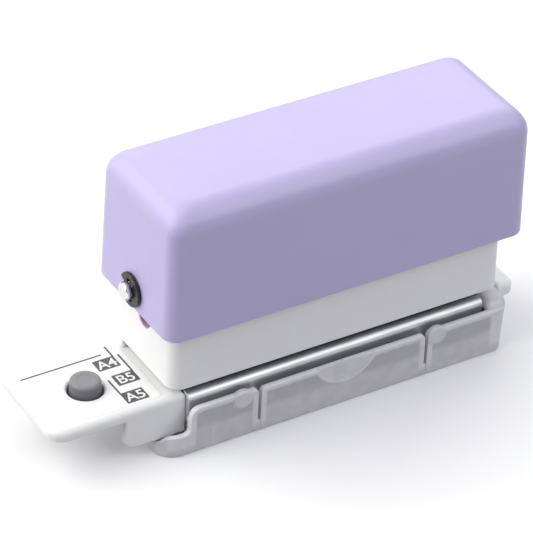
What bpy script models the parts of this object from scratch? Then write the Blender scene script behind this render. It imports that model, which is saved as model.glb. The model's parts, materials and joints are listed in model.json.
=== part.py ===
"""Six-hole loose-leaf desk punch, as an assembly of separate pieces.

Metres, +Z up.  The origin lies on the flat underside of the chip tray, below the middle of
the row of punches.  +X runs along the row, away from the paper gauge, and the paper goes in
from the -Y side.
"""

import math

import bmesh
import bpy

MM = 0.001

# Punch row
PUNCH_COUNT = 6
PITCH = 9.5 * MM
PUNCH_RADIUS = 2.75 * MM
STROKE = 6.3 * MM
RUNNING_GAP = 0.2 * MM
SEAT_GAP = 0.15 * MM

# Heights above the tray's underside
PAPER_Z = 10.4 * MM
PAPER_GAP = 1.6 * MM
SHAFT_Z = 27.7 * MM
COVER_LOW_Z = 23.8 * MM
COVER_TOP_Z = 48.3 * MM
HOUSING_LOW_Z = PAPER_Z + PAPER_GAP
HOUSING_TOP_Z = 38.4 * MM

# Press cover: a drafted shell
COVER_LENGTH = 68.8 * MM
COVER_WIDTH = 24.3 * MM
COVER_WALL = 1.7 * MM
COVER_TOP_RADIUS = 4.3 * MM
COVER_CORNER_RADIUS = 2.6 * MM
DRAFT = math.radians(0.9)
RIB_HALF_LENGTH = 27.0 * MM
RIB_Y = 1.8 * MM
RIB_THICKNESS = 1.4 * MM

# Punch housing
HOUSING_LENGTH = 64.2 * MM
HOUSING_WIDTH = 19.2 * MM
HOUSING_WALL = 1.8 * MM
HOUSING_CORNER_RADIUS = 2.3 * MM
PAPER_STOP_Y = 6.9 * MM

# Steel parts
DIE_LENGTH = 57.0 * MM
DIE_FRONT_Y = -9.5 * MM
DIE_REAR_Y = 9.9 * MM
DIE_THICKNESS = 1.2 * MM
FLANGE_THICKNESS = 1.0 * MM
FLANGE_LOW_Z = 4.8 * MM
DIE_BEND_RADIUS = 1.2 * MM
GUIDE_LENGTH = 58.0 * MM
GUIDE_WIDTH = 14.4 * MM
GUIDE_THICKNESS = 1.2 * MM
SHAFT_RADIUS = 1.6 * MM
SHAFT_LENGTH = 72.6 * MM
GROOVE_RADIUS = 1.2 * MM
CLIP_RADIUS = 3.15 * MM
CLIP_THICKNESS = 0.6 * MM

# Punches and their springs
HEAD_RADIUS = 3.9 * MM
HEAD_BELOW = 3.2 * MM
HEAD_ABOVE = 3.3 * MM
TIP_STEP = 0.5 * MM
TIP_HOLLOW = 0.7 * MM
TIP_CURVE = 5.0 * MM
SPRING_LOW_Z = HOUSING_LOW_Z + HOUSING_WALL + SEAT_GAP + GUIDE_THICKNESS + SEAT_GAP
SPRING_TURNS = 4
SPRING_WIRE = 0.5 * MM
SPRING_RADIUS = 3.45 * MM

# Gauge base: plate on the left, block with a front skirt, spine along the rear, lug on the right
BASE_LEFT_X = -53.2 * MM
BASE_RIGHT_X = 36.9 * MM
BASE_FRONT_Y = -8.6 * MM
BASE_REAR_Y = 11.5 * MM
BASE_LOW_Z = 2.4 * MM
BASE_CORNER_RADIUS = 3.0 * MM
BASE_EDGE_RADIUS = 0.8 * MM
PLATE_THICKNESS = 2.2 * MM
SKIRT_LEFT_X = -39.95 * MM
SKIRT_THICKNESS = 1.3 * MM
SKIRT_CORNER_RADIUS = 2.0 * MM
BLOCK_LEFT_X = -35.2 * MM
SPINE_FRONT_Y = 6.8 * MM
LUG_LEFT_X = 33.45 * MM
LUG_FRONT_Y = -7.3 * MM
LUG_LOW_Z = 7.7 * MM
LUG_TOP_Z = 10.1 * MM

# Locating pin, two pitches beyond the first punch
PIN_X = -4.5 * PITCH
PIN_RADIUS = 2.7 * MM
PIN_HOLE_RADIUS = 3.1 * MM
PIN_PROUD = 2.0 * MM
PIN_COLLAR_RADIUS = 3.7 * MM
PIN_COLLAR_THICKNESS = 0.8 * MM
LEAF_THICKNESS = 0.4 * MM
LEAF_WIDTH = 4.5 * MM
LEAF_ROOT_Z = 3.6 * MM
LEAF_ROOT_X = BLOCK_LEFT_X + 3.0 * MM

# Chip tray
TRAY_LEFT_X = -33.7 * MM
TRAY_RIGHT_X = 33.2 * MM
TRAY_WIDTH = 22.6 * MM
TRAY_WALL = 1.0 * MM
TRAY_RIM_Z = 9.45 * MM
TRAY_FLOOR = 1.3 * MM
TRAY_INNER_LEFT_X = -28.3 * MM
TRAY_DRAFT = 0.6 * MM
TRAY_CORNER_RADIUS = 2.8 * MM
TRAY_EDGE_RADIUS = 1.6 * MM
SLIT_X = 16.3 * MM
SLIT_WIDTH = 0.7 * MM
SNAP_X = 19.2 * MM
SNAP_RADIUS = 1.9 * MM
SNAP_Z = 7.9 * MM
SCOOP_RADIUS = 5.3 * MM

# Screws that clamp housing, die channel and base together
SCREW_Y = 8.4 * MM
SCREW_X = [-25.0 * MM, -8.5 * MM, 8.5 * MM, 25.0 * MM]
SCREW_RADIUS = 0.7 * MM
SCREW_HEAD_RADIUS = 1.3 * MM
SCREW_HEAD_Z = 4.9 * MM

ROUND_STEPS = 24
FAR = 60.0 * MM

PUNCH_X = [(index - (PUNCH_COUNT - 1) / 2) * PITCH for index in range(PUNCH_COUNT)]


def clear_scene():
    """Remove every object of the open scene."""
    for item in list(bpy.data.objects):
        bpy.data.objects.remove(item, do_unlink=True)


def new_collection(name):
    made = bpy.data.collections.new(name)
    bpy.context.scene.collection.children.link(made)
    return made


def new_material(name, colour, roughness, metallic=0.0, alpha=1.0):
    """A Principled material with one colour, roughness and metallic value."""
    material = bpy.data.materials.new(name)
    material.use_nodes = True
    shader = material.node_tree.nodes["Principled BSDF"]
    shader.inputs["Base Color"].default_value = (*colour, 1.0)
    shader.inputs["Roughness"].default_value = roughness
    shader.inputs["Metallic"].default_value = metallic
    shader.inputs["Alpha"].default_value = alpha
    return material


clear_scene()
PARTS = new_collection("hole_punch")
CUTTERS = new_collection("cutters")

LAVENDER = new_material("lavender_plastic", (0.60, 0.53, 0.82), 0.38)
WHITE = new_material("white_plastic", (0.86, 0.86, 0.85), 0.42)
FROSTED = new_material("frosted_plastic", (0.55, 0.55, 0.58), 0.45, alpha=0.6)
GREY = new_material("grey_plastic", (0.33, 0.33, 0.35), 0.5)
PLATED_STEEL = new_material("plated_steel", (0.55, 0.55, 0.57), 0.3, 1.0)
BRIGHT_STEEL = new_material("bright_steel", (0.72, 0.71, 0.72), 0.22, 1.0)
BLACK_STEEL = new_material("blackened_steel", (0.03, 0.03, 0.03), 0.4, 0.8)


# ---------------------------------------------------------------- shape helpers


def place(name, bm, material, location=(0.0, 0.0, 0.0)):
    """Turn a bmesh into a named part; without a material it becomes a cutter."""
    mesh = bpy.data.meshes.new(name)
    bm.to_mesh(mesh)
    bm.free()
    made = bpy.data.objects.new(name, mesh)
    made.location = location
    if material is None:
        CUTTERS.objects.link(made)
        made.display_type = "WIRE"
        made.hide_render = True
    else:
        PARTS.objects.link(made)
        mesh.materials.append(material)
    return made


def box_bmesh(low, high, centre=(0.0, 0.0, 0.0)):
    """A cube stretched between two corners, measured from a centre."""
    bm = bmesh.new()
    bmesh.ops.create_cube(bm, size=1.0)
    for vert in bm.verts:
        for axis in range(3):
            side = high[axis] if vert.co[axis] > 0 else low[axis]
            vert.co[axis] = side - centre[axis]
    return bm


def add_cylinder(bm, radius, centre, half_length, axis="Z", steps=ROUND_STEPS):
    """Add a capped cylinder along one axis to a bmesh."""
    made = bmesh.ops.create_cone(
        bm, cap_ends=True, segments=steps, radius1=radius, radius2=radius, depth=2 * half_length
    )
    for vert in made["verts"]:
        x, y, z = vert.co
        if axis == "X":
            x, y, z = z, x, y
        elif axis == "Y":
            x, y, z = y, z, x
        vert.co = (x + centre[0], y + centre[1], z + centre[2])


def cutter_box(name, low, high):
    return place(name, box_bmesh(low, high), None)


def edge_centre(edge):
    return (edge.verts[0].co + edge.verts[1].co) / 2


def is_upright(edge):
    span = edge.verts[0].co - edge.verts[1].co
    return abs(span.z) > max(abs(span.x), abs(span.y))


def bevel_chosen(bm, chosen, radius, segments):
    """Round the edges that a test picks."""
    edges = [edge for edge in bm.edges if chosen(edge)]
    bmesh.ops.bevel(
        bm,
        geom=edges,
        offset=radius,
        offset_type="OFFSET",
        segments=segments,
        profile=0.5,
        affect="EDGES",
        clamp_overlap=True,
    )


def taper_top(bm, inset):
    """Move the upper corners inwards by the same amount on all four sides."""
    top = max(vert.co.z for vert in bm.verts)
    for vert in bm.verts:
        if vert.co.z > top - MM:
            vert.co.x -= math.copysign(inset, vert.co.x)
            vert.co.y -= math.copysign(inset, vert.co.y)


def combine(target, tool, operation):
    """Cut or join one object with another, and hide the tool with the cutters."""
    step = target.modifiers.new(operation.lower() + "_" + tool.name, "BOOLEAN")
    step.operation = operation
    step.object = tool
    step.solver = "EXACT"


def cut(target, tool):
    combine(target, tool, "DIFFERENCE")


def join(target, tool):
    combine(target, tool, "UNION")


def turned(name, profile, material, location, along_x=False):
    """Turn a profile of (radius, height) pairs, listed from top to bottom, into a solid."""
    bm = bmesh.new()
    verts = [bm.verts.new((radius, 0.0, height)) for radius, height in profile]
    for first, second in zip(verts, verts[1:]):
        bm.edges.new((first, second))
    made = place(name, bm, material, location)
    if along_x:
        made.rotation_euler = (0.0, math.pi / 2, 0.0)
    screw = made.modifiers.new("turn", "SCREW")
    screw.axis = "Z"
    screw.steps = ROUND_STEPS
    screw.render_steps = ROUND_STEPS
    screw.use_merge_vertices = True
    screw.merge_threshold = 0.00001
    screw.use_normal_calculate = False
    return made


def flat_outline(name, points, thickness, material, location, rotation):
    """A flat closed outline given half its thickness on each side."""
    curve = bpy.data.curves.new(name, "CURVE")
    curve.dimensions = "2D"
    curve.fill_mode = "BOTH"
    curve.extrude = thickness / 2
    spline = curve.splines.new("POLY")
    spline.points.add(len(points) - 1)
    for point, (x, y) in zip(spline.points, points):
        point.co = (x, y, 0.0, 1.0)
    spline.use_cyclic_u = True
    curve.materials.append(material)
    made = bpy.data.objects.new(name, curve)
    made.location = location
    made.rotation_euler = rotation
    PARTS.objects.link(made)
    return made


def arc(radius, start, end, steps, centre=(0.0, 0.0)):
    """Points on a circle, from one angle to another in degrees."""
    points = []
    for step in range(steps + 1):
        angle = math.radians(start + (end - start) * step / steps)
        points.append((centre[0] + radius * math.cos(angle), centre[1] + radius * math.sin(angle)))
    return points


def row_of_holes(name, radius, low_z, high_z):
    """One cutter with an upright cylinder at each punch."""
    bm = bmesh.new()
    for x in PUNCH_X:
        add_cylinder(bm, radius, (x, 0.0, (low_z + high_z) / 2), (high_z - low_z) / 2)
    return place(name, bm, None)


def screw_holes(name, radius, low_z, high_z):
    bm = bmesh.new()
    for x in SCREW_X:
        centre = (x, SCREW_Y, (low_z + high_z) / 2)
        add_cylinder(bm, radius, centre, (high_z - low_z) / 2, steps=12)
    return place(name, bm, None)


# ---------------------------------------------------------------- press cover


def make_press_cover():
    """Drafted shell with a round top edge, open below, on two ribs that push the punches."""
    half_x = COVER_LENGTH / 2
    half_y = COVER_WIDTH / 2
    height = COVER_TOP_Z - COVER_LOW_Z
    bm = box_bmesh((-half_x, -half_y, 0.0), (half_x, half_y, height))
    taper_top(bm, height * math.tan(DRAFT))
    floor = [face for face in bm.faces if face.normal.z < -0.5]
    bmesh.ops.delete(bm, geom=floor, context="FACES_ONLY")
    weight = bm.edges.layers.float.new("bevel_weight_edge")
    for edge in bm.edges:
        if is_upright(edge):
            edge[weight] = COVER_CORNER_RADIUS / COVER_TOP_RADIUS
        elif edge_centre(edge).z > height / 2:
            edge[weight] = 1.0
    cover = place("press_cover", bm, LAVENDER, (0.0, 0.0, COVER_LOW_Z))
    rounding = cover.modifiers.new("rounding", "BEVEL")
    rounding.limit_method = "WEIGHT"
    rounding.width = COVER_TOP_RADIUS
    rounding.segments = 5
    wall = cover.modifiers.new("wall", "SOLIDIFY")
    wall.thickness = COVER_WALL
    wall.offset = -1.0

    rib_low = SHAFT_Z + HEAD_ABOVE + RUNNING_GAP
    rib_high = COVER_TOP_Z - COVER_WALL / 2
    for side, name in ((-1, "front_rib"), (1, "rear_rib")):
        rib = cutter_box(
            name,
            (-RIB_HALF_LENGTH, side * RIB_Y - RIB_THICKNESS / 2, rib_low),
            (RIB_HALF_LENGTH, side * RIB_Y + RIB_THICKNESS / 2, rib_high),
        )
        join(cover, rib)
    bm = bmesh.new()
    for side in (-1, 1):
        add_cylinder(bm, SHAFT_RADIUS + RUNNING_GAP, (side * half_x, 0.0, SHAFT_Z), 3 * MM, "X")
    cut(cover, place("cover_shaft_holes", bm, None))


# ---------------------------------------------------------------- drive shaft and its clips


def make_drive_shaft():
    """Round bar with a groove near each end for a clip."""
    half = SHAFT_LENGTH / 2
    chamfer = 0.25 * MM
    groove_in = COVER_LENGTH / 2 + 0.05 * MM
    groove_out = groove_in + CLIP_THICKNESS + 0.2 * MM
    upper = [
        (0.0, half),
        (SHAFT_RADIUS - chamfer, half),
        (SHAFT_RADIUS, half - chamfer),
        (SHAFT_RADIUS, groove_out),
        (GROOVE_RADIUS, groove_out),
        (GROOVE_RADIUS, groove_in),
        (SHAFT_RADIUS, groove_in),
    ]
    lower = [(radius, -height) for radius, height in reversed(upper)]
    turned("drive_shaft", upper + lower, BRIGHT_STEEL, (0.0, 0.0, SHAFT_Z), along_x=True)


def clip_outline():
    """E-shaped ring: an outer arc, and an inner edge that steps in at three prongs."""
    mouth = 34.0
    prong_half = 17.0
    cavity = 2.15 * MM
    grip = GROOVE_RADIUS + 0.12 * MM
    points = arc(CLIP_RADIUS, mouth, 360.0 - mouth, 28)
    inner = []
    inner += arc(grip, 360.0 - mouth, 360.0 - mouth - 1.4 * prong_half, 3)
    inner += arc(cavity, 360.0 - mouth - 1.6 * prong_half, 180.0 + prong_half, 8)
    inner += arc(grip, 180.0 + prong_half, 180.0 - prong_half, 4)
    inner += arc(cavity, 180.0 - prong_half, mouth + 1.6 * prong_half, 8)
    inner += arc(grip, mouth + 1.4 * prong_half, mouth, 3)
    return points + inner


def make_retaining_clips():
    clip_x = COVER_LENGTH / 2 + 0.15 * MM + CLIP_THICKNESS / 2
    for side, name in ((-1, "retaining_clip_left"), (1, "retaining_clip_right")):
        flat_outline(
            name,
            clip_outline(),
            CLIP_THICKNESS,
            BLACK_STEEL,
            (side * clip_x, 0.0, SHAFT_Z),
            (math.pi / 2, 0.0, math.pi / 2),
        )


# ---------------------------------------------------------------- punches and springs


def make_punches():
    """Six turned punches on the shaft; the outer ones are longer and bite first."""
    bm = bmesh.new()
    for x in PUNCH_X:
        add_cylinder(bm, SHAFT_RADIUS + RUNNING_GAP, (x, 0.0, SHAFT_Z), HEAD_RADIUS * 1.1, "X")
    shaft_holes = place("punch_shaft_holes", bm, None)
    for index, x in enumerate(PUNCH_X):
        from_end = min(index, PUNCH_COUNT - 1 - index)
        tip = HOUSING_LOW_Z + 0.3 * MM + from_end * TIP_STEP
        chamfer = 0.4 * MM
        profile = [
            (0.0, HEAD_ABOVE),
            (HEAD_RADIUS - chamfer, HEAD_ABOVE),
            (HEAD_RADIUS, HEAD_ABOVE - chamfer),
            (HEAD_RADIUS, -HEAD_BELOW),
            (PUNCH_RADIUS, -HEAD_BELOW),
            (PUNCH_RADIUS, tip - SHAFT_Z),
            (0.0, tip - SHAFT_Z),
        ]
        punch = turned(f"punch_{index + 1}", profile, BRIGHT_STEEL, (x, 0.0, SHAFT_Z))
        cut(punch, shaft_holes)
        bm = bmesh.new()
        centre = (x, 0.0, tip + TIP_HOLLOW - TIP_CURVE)
        add_cylinder(bm, TIP_CURVE, centre, 2 * PUNCH_RADIUS, "Y", steps=40)
        cut(punch, place(f"tip_hollow_{index + 1}", bm, None))


def make_return_springs():
    """One coil round each punch, from the guide plate up to the punch's head."""
    low = SPRING_LOW_Z + SPRING_WIRE / 2
    high = SHAFT_Z - HEAD_BELOW - SEAT_GAP - SPRING_WIRE / 2
    per_turn = 12
    count = SPRING_TURNS * per_turn
    for index, x in enumerate(PUNCH_X):
        name = f"return_spring_{index + 1}"
        curve = bpy.data.curves.new(name, "CURVE")
        curve.dimensions = "3D"
        curve.bevel_depth = SPRING_WIRE / 2
        curve.bevel_resolution = 1
        curve.use_fill_caps = True
        spline = curve.splines.new("POLY")
        spline.points.add(count)
        for step, point in enumerate(spline.points):
            angle = 2 * math.pi * step / per_turn
            height = (high - low) * step / count
            across = SPRING_RADIUS * math.cos(angle)
            along = SPRING_RADIUS * math.sin(angle)
            point.co = (across, along, height, 1.0)
        curve.materials.append(PLATED_STEEL)
        spring = bpy.data.objects.new(name, curve)
        spring.location = (x, 0.0, low)
        PARTS.objects.link(spring)


# ---------------------------------------------------------------- housing, guide plate, die


def make_punch_housing():
    """Open-topped box with holes in its floor, a slot in each end and a foot along the rear."""
    half_x = HOUSING_LENGTH / 2
    half_y = HOUSING_WIDTH / 2
    foot_z = PAPER_Z + SEAT_GAP
    height = HOUSING_TOP_Z - foot_z
    bm = box_bmesh((-half_x, -half_y, 0.0), (half_x, half_y, height))
    taper_top(bm, height * math.tan(DRAFT))
    bevel_chosen(bm, is_upright, HOUSING_CORNER_RADIUS, 4)
    housing = place("punch_housing", bm, WHITE, (0.0, 0.0, foot_z))

    floor_z = HOUSING_LOW_Z + HOUSING_WALL
    inner_x = half_x - HOUSING_WALL
    inner_y = half_y - HOUSING_WALL
    cut(housing, cutter_box("housing_inside", (-inner_x, -inner_y, floor_z), (inner_x, inner_y, FAR)))
    gap_low = (-FAR, -FAR, 0.0)
    gap_high = (FAR, PAPER_STOP_Y, HOUSING_LOW_Z)
    cut(housing, cutter_box("paper_gap", gap_low, gap_high))
    hole_radius = PUNCH_RADIUS + 2 * RUNNING_GAP
    cut(housing, row_of_holes("floor_holes", hole_radius, HOUSING_LOW_Z - MM, floor_z + MM))
    cut(housing, screw_holes("housing_pilots", SCREW_RADIUS + RUNNING_GAP, 0.0, HOUSING_LOW_Z + 1.3 * MM))

    slot_radius = SHAFT_RADIUS + 2 * RUNNING_GAP
    slot_high = SHAFT_Z + RUNNING_GAP
    slot_low = SHAFT_Z - STROKE - RUNNING_GAP
    bm = box_bmesh((-FAR, -slot_radius, slot_low), (FAR, slot_radius, slot_high))
    cut(housing, place("shaft_slot", bm, None))
    bm = bmesh.new()
    add_cylinder(bm, slot_radius, (0.0, 0.0, slot_low), FAR, "X")
    add_cylinder(bm, slot_radius, (0.0, 0.0, slot_high), FAR, "X")
    cut(housing, place("shaft_slot_ends", bm, None))


def make_guide_plate():
    """Flat steel plate on the housing's floor that keeps the punches upright."""
    low = HOUSING_LOW_Z + HOUSING_WALL + SEAT_GAP
    high = low + GUIDE_THICKNESS
    centre = (0.0, 0.0, (low + high) / 2)
    half_x = GUIDE_LENGTH / 2
    half_y = GUIDE_WIDTH / 2
    bm = box_bmesh((-half_x, -half_y, low), (half_x, half_y, high), centre)
    bevel_chosen(bm, is_upright, 1.0 * MM, 2)
    plate = place("guide_plate", bm, PLATED_STEEL, centre)
    cut(plate, row_of_holes("guide_holes", PUNCH_RADIUS + RUNNING_GAP, low - MM, high + MM))


def make_die_channel():
    """Steel strip with six die holes, folded down along the front."""
    half_x = DIE_LENGTH / 2
    bm = box_bmesh((-half_x, DIE_FRONT_Y, FLANGE_LOW_Z), (half_x, DIE_REAR_Y, PAPER_Z))

    def is_front_top(edge):
        middle = edge_centre(edge)
        return middle.y < DIE_FRONT_Y + MM and middle.z > PAPER_Z - MM and abs(middle.x) < MM

    bevel_chosen(bm, is_front_top, DIE_BEND_RADIUS, 5)
    channel = place("die_channel", bm, PLATED_STEEL)
    under = PAPER_Z - DIE_THICKNESS
    inside_low = (-FAR, DIE_FRONT_Y + FLANGE_THICKNESS, 0.0)
    cut(channel, cutter_box("channel_inside", inside_low, (FAR, FAR, under)))
    cut(channel, row_of_holes("die_holes", PUNCH_RADIUS + RUNNING_GAP, under - MM, PAPER_Z + MM))
    cut(channel, screw_holes("die_screw_holes", SCREW_RADIUS + RUNNING_GAP, under - MM, PAPER_Z + MM))


# ---------------------------------------------------------------- gauge base


def make_gauge_base():
    """One moulding: gauge plate, block, spine behind the die and a lug at the far end."""
    bm = box_bmesh((BASE_LEFT_X, BASE_FRONT_Y, BASE_LOW_Z), (BASE_RIGHT_X, BASE_REAR_Y, PAPER_Z))
    bevel_chosen(bm, is_upright, BASE_CORNER_RADIUS, 4)

    def is_top_rim(edge):
        return min(edge.verts[0].co.z, edge.verts[1].co.z) > PAPER_Z - MM

    bevel_chosen(bm, is_top_rim, BASE_EDGE_RADIUS, 3)
    base = place("gauge_base", bm, WHITE)

    plate_low = PAPER_Z - PLATE_THICKNESS
    leaf_side = LEAF_WIDTH / 2 + RUNNING_GAP
    leaf_high = LEAF_ROOT_Z + LEAF_THICKNESS + RUNNING_GAP
    bay_left = -DIE_LENGTH / 2 - SEAT_GAP
    bay_right = DIE_LENGTH / 2 + SEAT_GAP
    cuts = {
        "under_plate": ((-FAR, -FAR, 0.0), (SKIRT_LEFT_X, FAR, plate_low)),
        "behind_skirt": ((-FAR, BASE_FRONT_Y + SKIRT_THICKNESS, 0.0), (BLOCK_LEFT_X, FAR, plate_low)),
        "tray_bay": ((bay_left, -FAR, 0.0), (LUG_LEFT_X, SPINE_FRONT_Y, FAR)),
        "die_rebate": (
            (bay_left, 0.0, PAPER_Z - DIE_THICKNESS - SEAT_GAP),
            (bay_right, DIE_REAR_Y + SEAT_GAP, FAR),
        ),
        "lug_underside": ((LUG_LEFT_X - MM, -FAR, 0.0), (FAR, FAR, LUG_LOW_Z)),
        "lug_top": ((LUG_LEFT_X - MM, -FAR, LUG_TOP_Z), (FAR, SPINE_FRONT_Y, FAR)),
        "lug_front": ((LUG_LEFT_X - MM, -FAR, 0.0), (FAR, LUG_FRONT_Y, FAR)),
        "leaf_slot": (
            (BLOCK_LEFT_X - MM, -leaf_side, LEAF_ROOT_Z - RUNNING_GAP),
            (LEAF_ROOT_X + RUNNING_GAP, leaf_side, leaf_high),
        ),
    }
    for name, (low, high) in cuts.items():
        cut(base, cutter_box(name, low, high))
    bm = bmesh.new()
    add_cylinder(bm, PIN_HOLE_RADIUS, (PIN_X, 0.0, PAPER_Z), 3 * PLATE_THICKNESS)
    cut(base, place("pin_hole", bm, None))
    bm = box_bmesh(
        (SKIRT_LEFT_X - 10 * MM, -FAR, BASE_LOW_Z - 10 * MM),
        (SKIRT_LEFT_X + SKIRT_CORNER_RADIUS, BASE_FRONT_Y + 2 * MM, BASE_LOW_Z + SKIRT_CORNER_RADIUS),
    )
    corner = place("skirt_corner", bm, None)
    bm = bmesh.new()
    corner_centre = (SKIRT_LEFT_X + SKIRT_CORNER_RADIUS, 0.0, BASE_LOW_Z + SKIRT_CORNER_RADIUS)
    add_cylinder(bm, SKIRT_CORNER_RADIUS, corner_centre, 2 * FAR, "Y", steps=32)
    cut(corner, place("skirt_corner_round", bm, None))
    cut(base, corner)
    cut(base, screw_holes("base_screw_holes", SCREW_RADIUS + RUNNING_GAP, 0.0, FAR))
    cut(base, screw_holes("base_counterbores", SCREW_HEAD_RADIUS + RUNNING_GAP, 0.0, SCREW_HEAD_Z + MM))


# ---------------------------------------------------------------- locating pin and its spring


def make_locating_pin():
    """Round-topped button with a collar below the plate."""
    top = PIN_PROUD
    under_plate = -PLATE_THICKNESS - RUNNING_GAP
    edge = 0.7 * MM
    taper = 0.15 * MM
    profile = [(0.0, top)]
    profile += arc(edge, 90.0, 0.0, 4, (PIN_RADIUS - taper - edge, top - edge))
    profile += [
        (PIN_RADIUS, 0.0),
        (PIN_RADIUS, under_plate),
        (PIN_COLLAR_RADIUS, under_plate),
        (PIN_COLLAR_RADIUS, under_plate - PIN_COLLAR_THICKNESS),
        (0.0, under_plate - PIN_COLLAR_THICKNESS),
    ]
    turned("locating_pin", profile, GREY, (PIN_X, 0.0, PAPER_Z))


def make_pin_leaf_spring():
    """Thin strip held in a slot of the block, rising to the underside of the pin."""
    pin_low = PAPER_Z - PLATE_THICKNESS - RUNNING_GAP - PIN_COLLAR_THICKNESS - SEAT_GAP
    rise = pin_low - LEAF_THICKNESS - LEAF_ROOT_Z
    root_x = LEAF_ROOT_X
    bend_x = BLOCK_LEFT_X - 0.6 * MM
    touch_x = PIN_X + 1.5 * MM
    end_x = PIN_X - 2.5 * MM
    lower = [(root_x, 0.0), (bend_x, 0.0), (touch_x, rise), (end_x, rise)]
    upper = [(x, z + LEAF_THICKNESS) for x, z in reversed(lower)]
    flat_outline(
        "pin_leaf_spring",
        lower + upper,
        LEAF_WIDTH,
        PLATED_STEEL,
        (0.0, 0.0, LEAF_ROOT_Z),
        (math.pi / 2, 0.0, 0.0),
    )


# ---------------------------------------------------------------- chip tray


def make_chip_tray():
    """Frosted tub with three spring panels along the front and an end block on the right."""
    half_y = TRAY_WIDTH / 2
    bm = box_bmesh((TRAY_LEFT_X, -half_y, 0.0), (TRAY_RIGHT_X, half_y, TRAY_RIM_Z))
    for vert in bm.verts:
        if vert.co.z < MM and vert.co.x > 0:
            vert.co.x -= TRAY_DRAFT
    bevel_chosen(bm, is_upright, TRAY_CORNER_RADIUS, 5)

    def is_bottom_rim(edge):
        return max(edge.verts[0].co.z, edge.verts[1].co.z) < 0.01 * MM

    bevel_chosen(bm, is_bottom_rim, TRAY_EDGE_RADIUS, 3)
    tray = place("chip_tray", bm, FROSTED)

    floor_z = TRAY_FLOOR
    inner_right = TRAY_RIGHT_X - TRAY_DRAFT - TRAY_WALL
    rear_outer = SPINE_FRONT_Y - 2 * SEAT_GAP
    under_base = BASE_LOW_Z - 2 * SEAT_GAP
    bm = box_bmesh(
        (TRAY_INNER_LEFT_X + TRAY_WALL, -half_y + TRAY_WALL, floor_z),
        (inner_right, rear_outer - TRAY_WALL, FAR),
    )
    bevel_chosen(bm, is_upright, 1.5 * MM, 3)
    cut(tray, place("tray_inside", bm, None))
    cut(tray, cutter_box("under_block", (-FAR, -FAR, under_base), (TRAY_INNER_LEFT_X, FAR, FAR)))
    cut(tray, cutter_box("under_spine", (-FAR, rear_outer, under_base), (FAR, FAR, FAR)))
    flange_zone = FLANGE_LOW_Z - 2 * SEAT_GAP
    steel_half = DIE_LENGTH / 2 + 2 * SEAT_GAP
    wall_low = (-FAR, -half_y + TRAY_WALL, flange_zone)
    cut(tray, cutter_box("left_wall_top", wall_low, (-steel_half + 3 * MM, FAR, FAR)))
    cut(
        tray,
        cutter_box(
            "rear_wall_top",
            (-FAR, 0.0, PAPER_Z - DIE_THICKNESS - 2 * SEAT_GAP),
            (steel_half, FAR, FAR),
        ),
    )
    bm = box_bmesh(
        (steel_half, DIE_FRONT_Y, floor_z - 0.5 * MM),
        (inner_right + 0.5 * MM, DIE_FRONT_Y + 11.0 * MM, PAPER_Z - SEAT_GAP),
    )
    bevel_chosen(bm, lambda edge: edge_centre(edge).z > PAPER_Z - MM, 0.7 * MM, 2)
    join(tray, place("end_block", bm, None))

    bm = bmesh.new()
    for side in (-1, 1):
        centre = (side * SNAP_X, -half_y + 0.3 * MM, SNAP_Z)
        add_cylinder(bm, SNAP_RADIUS, centre, 0.6 * MM, "Y", steps=20)
    join(tray, place("snap_discs", bm, None))
    for side, name in ((-1, "left_slit"), (1, "right_slit")):
        low = (side * SLIT_X - SLIT_WIDTH / 2, -FAR, 2.2 * MM)
        high = (side * SLIT_X + SLIT_WIDTH / 2, -half_y + 1.6 * TRAY_WALL, FAR)
        cut(tray, cutter_box(name, low, high))
    bm = bmesh.new()
    add_cylinder(bm, SCOOP_RADIUS, (0.0, -half_y, TRAY_RIM_Z), 0.45 * MM, "Y", steps=32)
    cut(tray, place("thumb_scoop", bm, None))


# ---------------------------------------------------------------- screws


def make_clamp_screws():
    """Countersunk in the spine's underside, up through the die channel into the housing."""
    tip = HOUSING_LOW_Z + 1.0 * MM - SCREW_HEAD_Z
    profile = [
        (0.0, tip),
        (SCREW_RADIUS / 2, tip),
        (SCREW_RADIUS, tip - 0.5 * MM),
        (SCREW_RADIUS, MM - SEAT_GAP),
        (SCREW_HEAD_RADIUS, MM - SEAT_GAP),
        (SCREW_HEAD_RADIUS, 0.1 * MM),
        (SCREW_HEAD_RADIUS * 0.8, -0.15 * MM),
        (0.0, -0.15 * MM),
    ]
    for index, x in enumerate(SCREW_X):
        screw = turned(f"clamp_screw_{index + 1}", profile, BLACK_STEEL, (x, SCREW_Y, SCREW_HEAD_Z))
        screw.modifiers["turn"].steps = 12
        screw.modifiers["turn"].render_steps = 12


def shade_round_pieces():
    """Smooth shading that keeps corners over 35 degrees sharp."""
    for item in PARTS.objects:
        if item.type == "MESH":
            item.data.shade_smooth()
            item.data.set_sharp_from_angle(angle=math.radians(35.0))


make_press_cover()
make_drive_shaft()
make_retaining_clips()
make_punches()
make_return_springs()
make_punch_housing()
make_guide_plate()
make_die_channel()
make_gauge_base()
make_locating_pin()
make_pin_leaf_spring()
make_chip_tray()
make_clamp_screws()
shade_round_pieces()
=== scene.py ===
"""Looks of a six-hole loose-leaf desk punch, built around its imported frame.

Metres, +Z up: +X runs along the row of punches, -Y is the side where the paper goes in, and
the origin lies on the underside of the chip tray.
"""

import json
import math

import bmesh
import bpy
import numpy as np
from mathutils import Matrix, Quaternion, Vector


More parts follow.
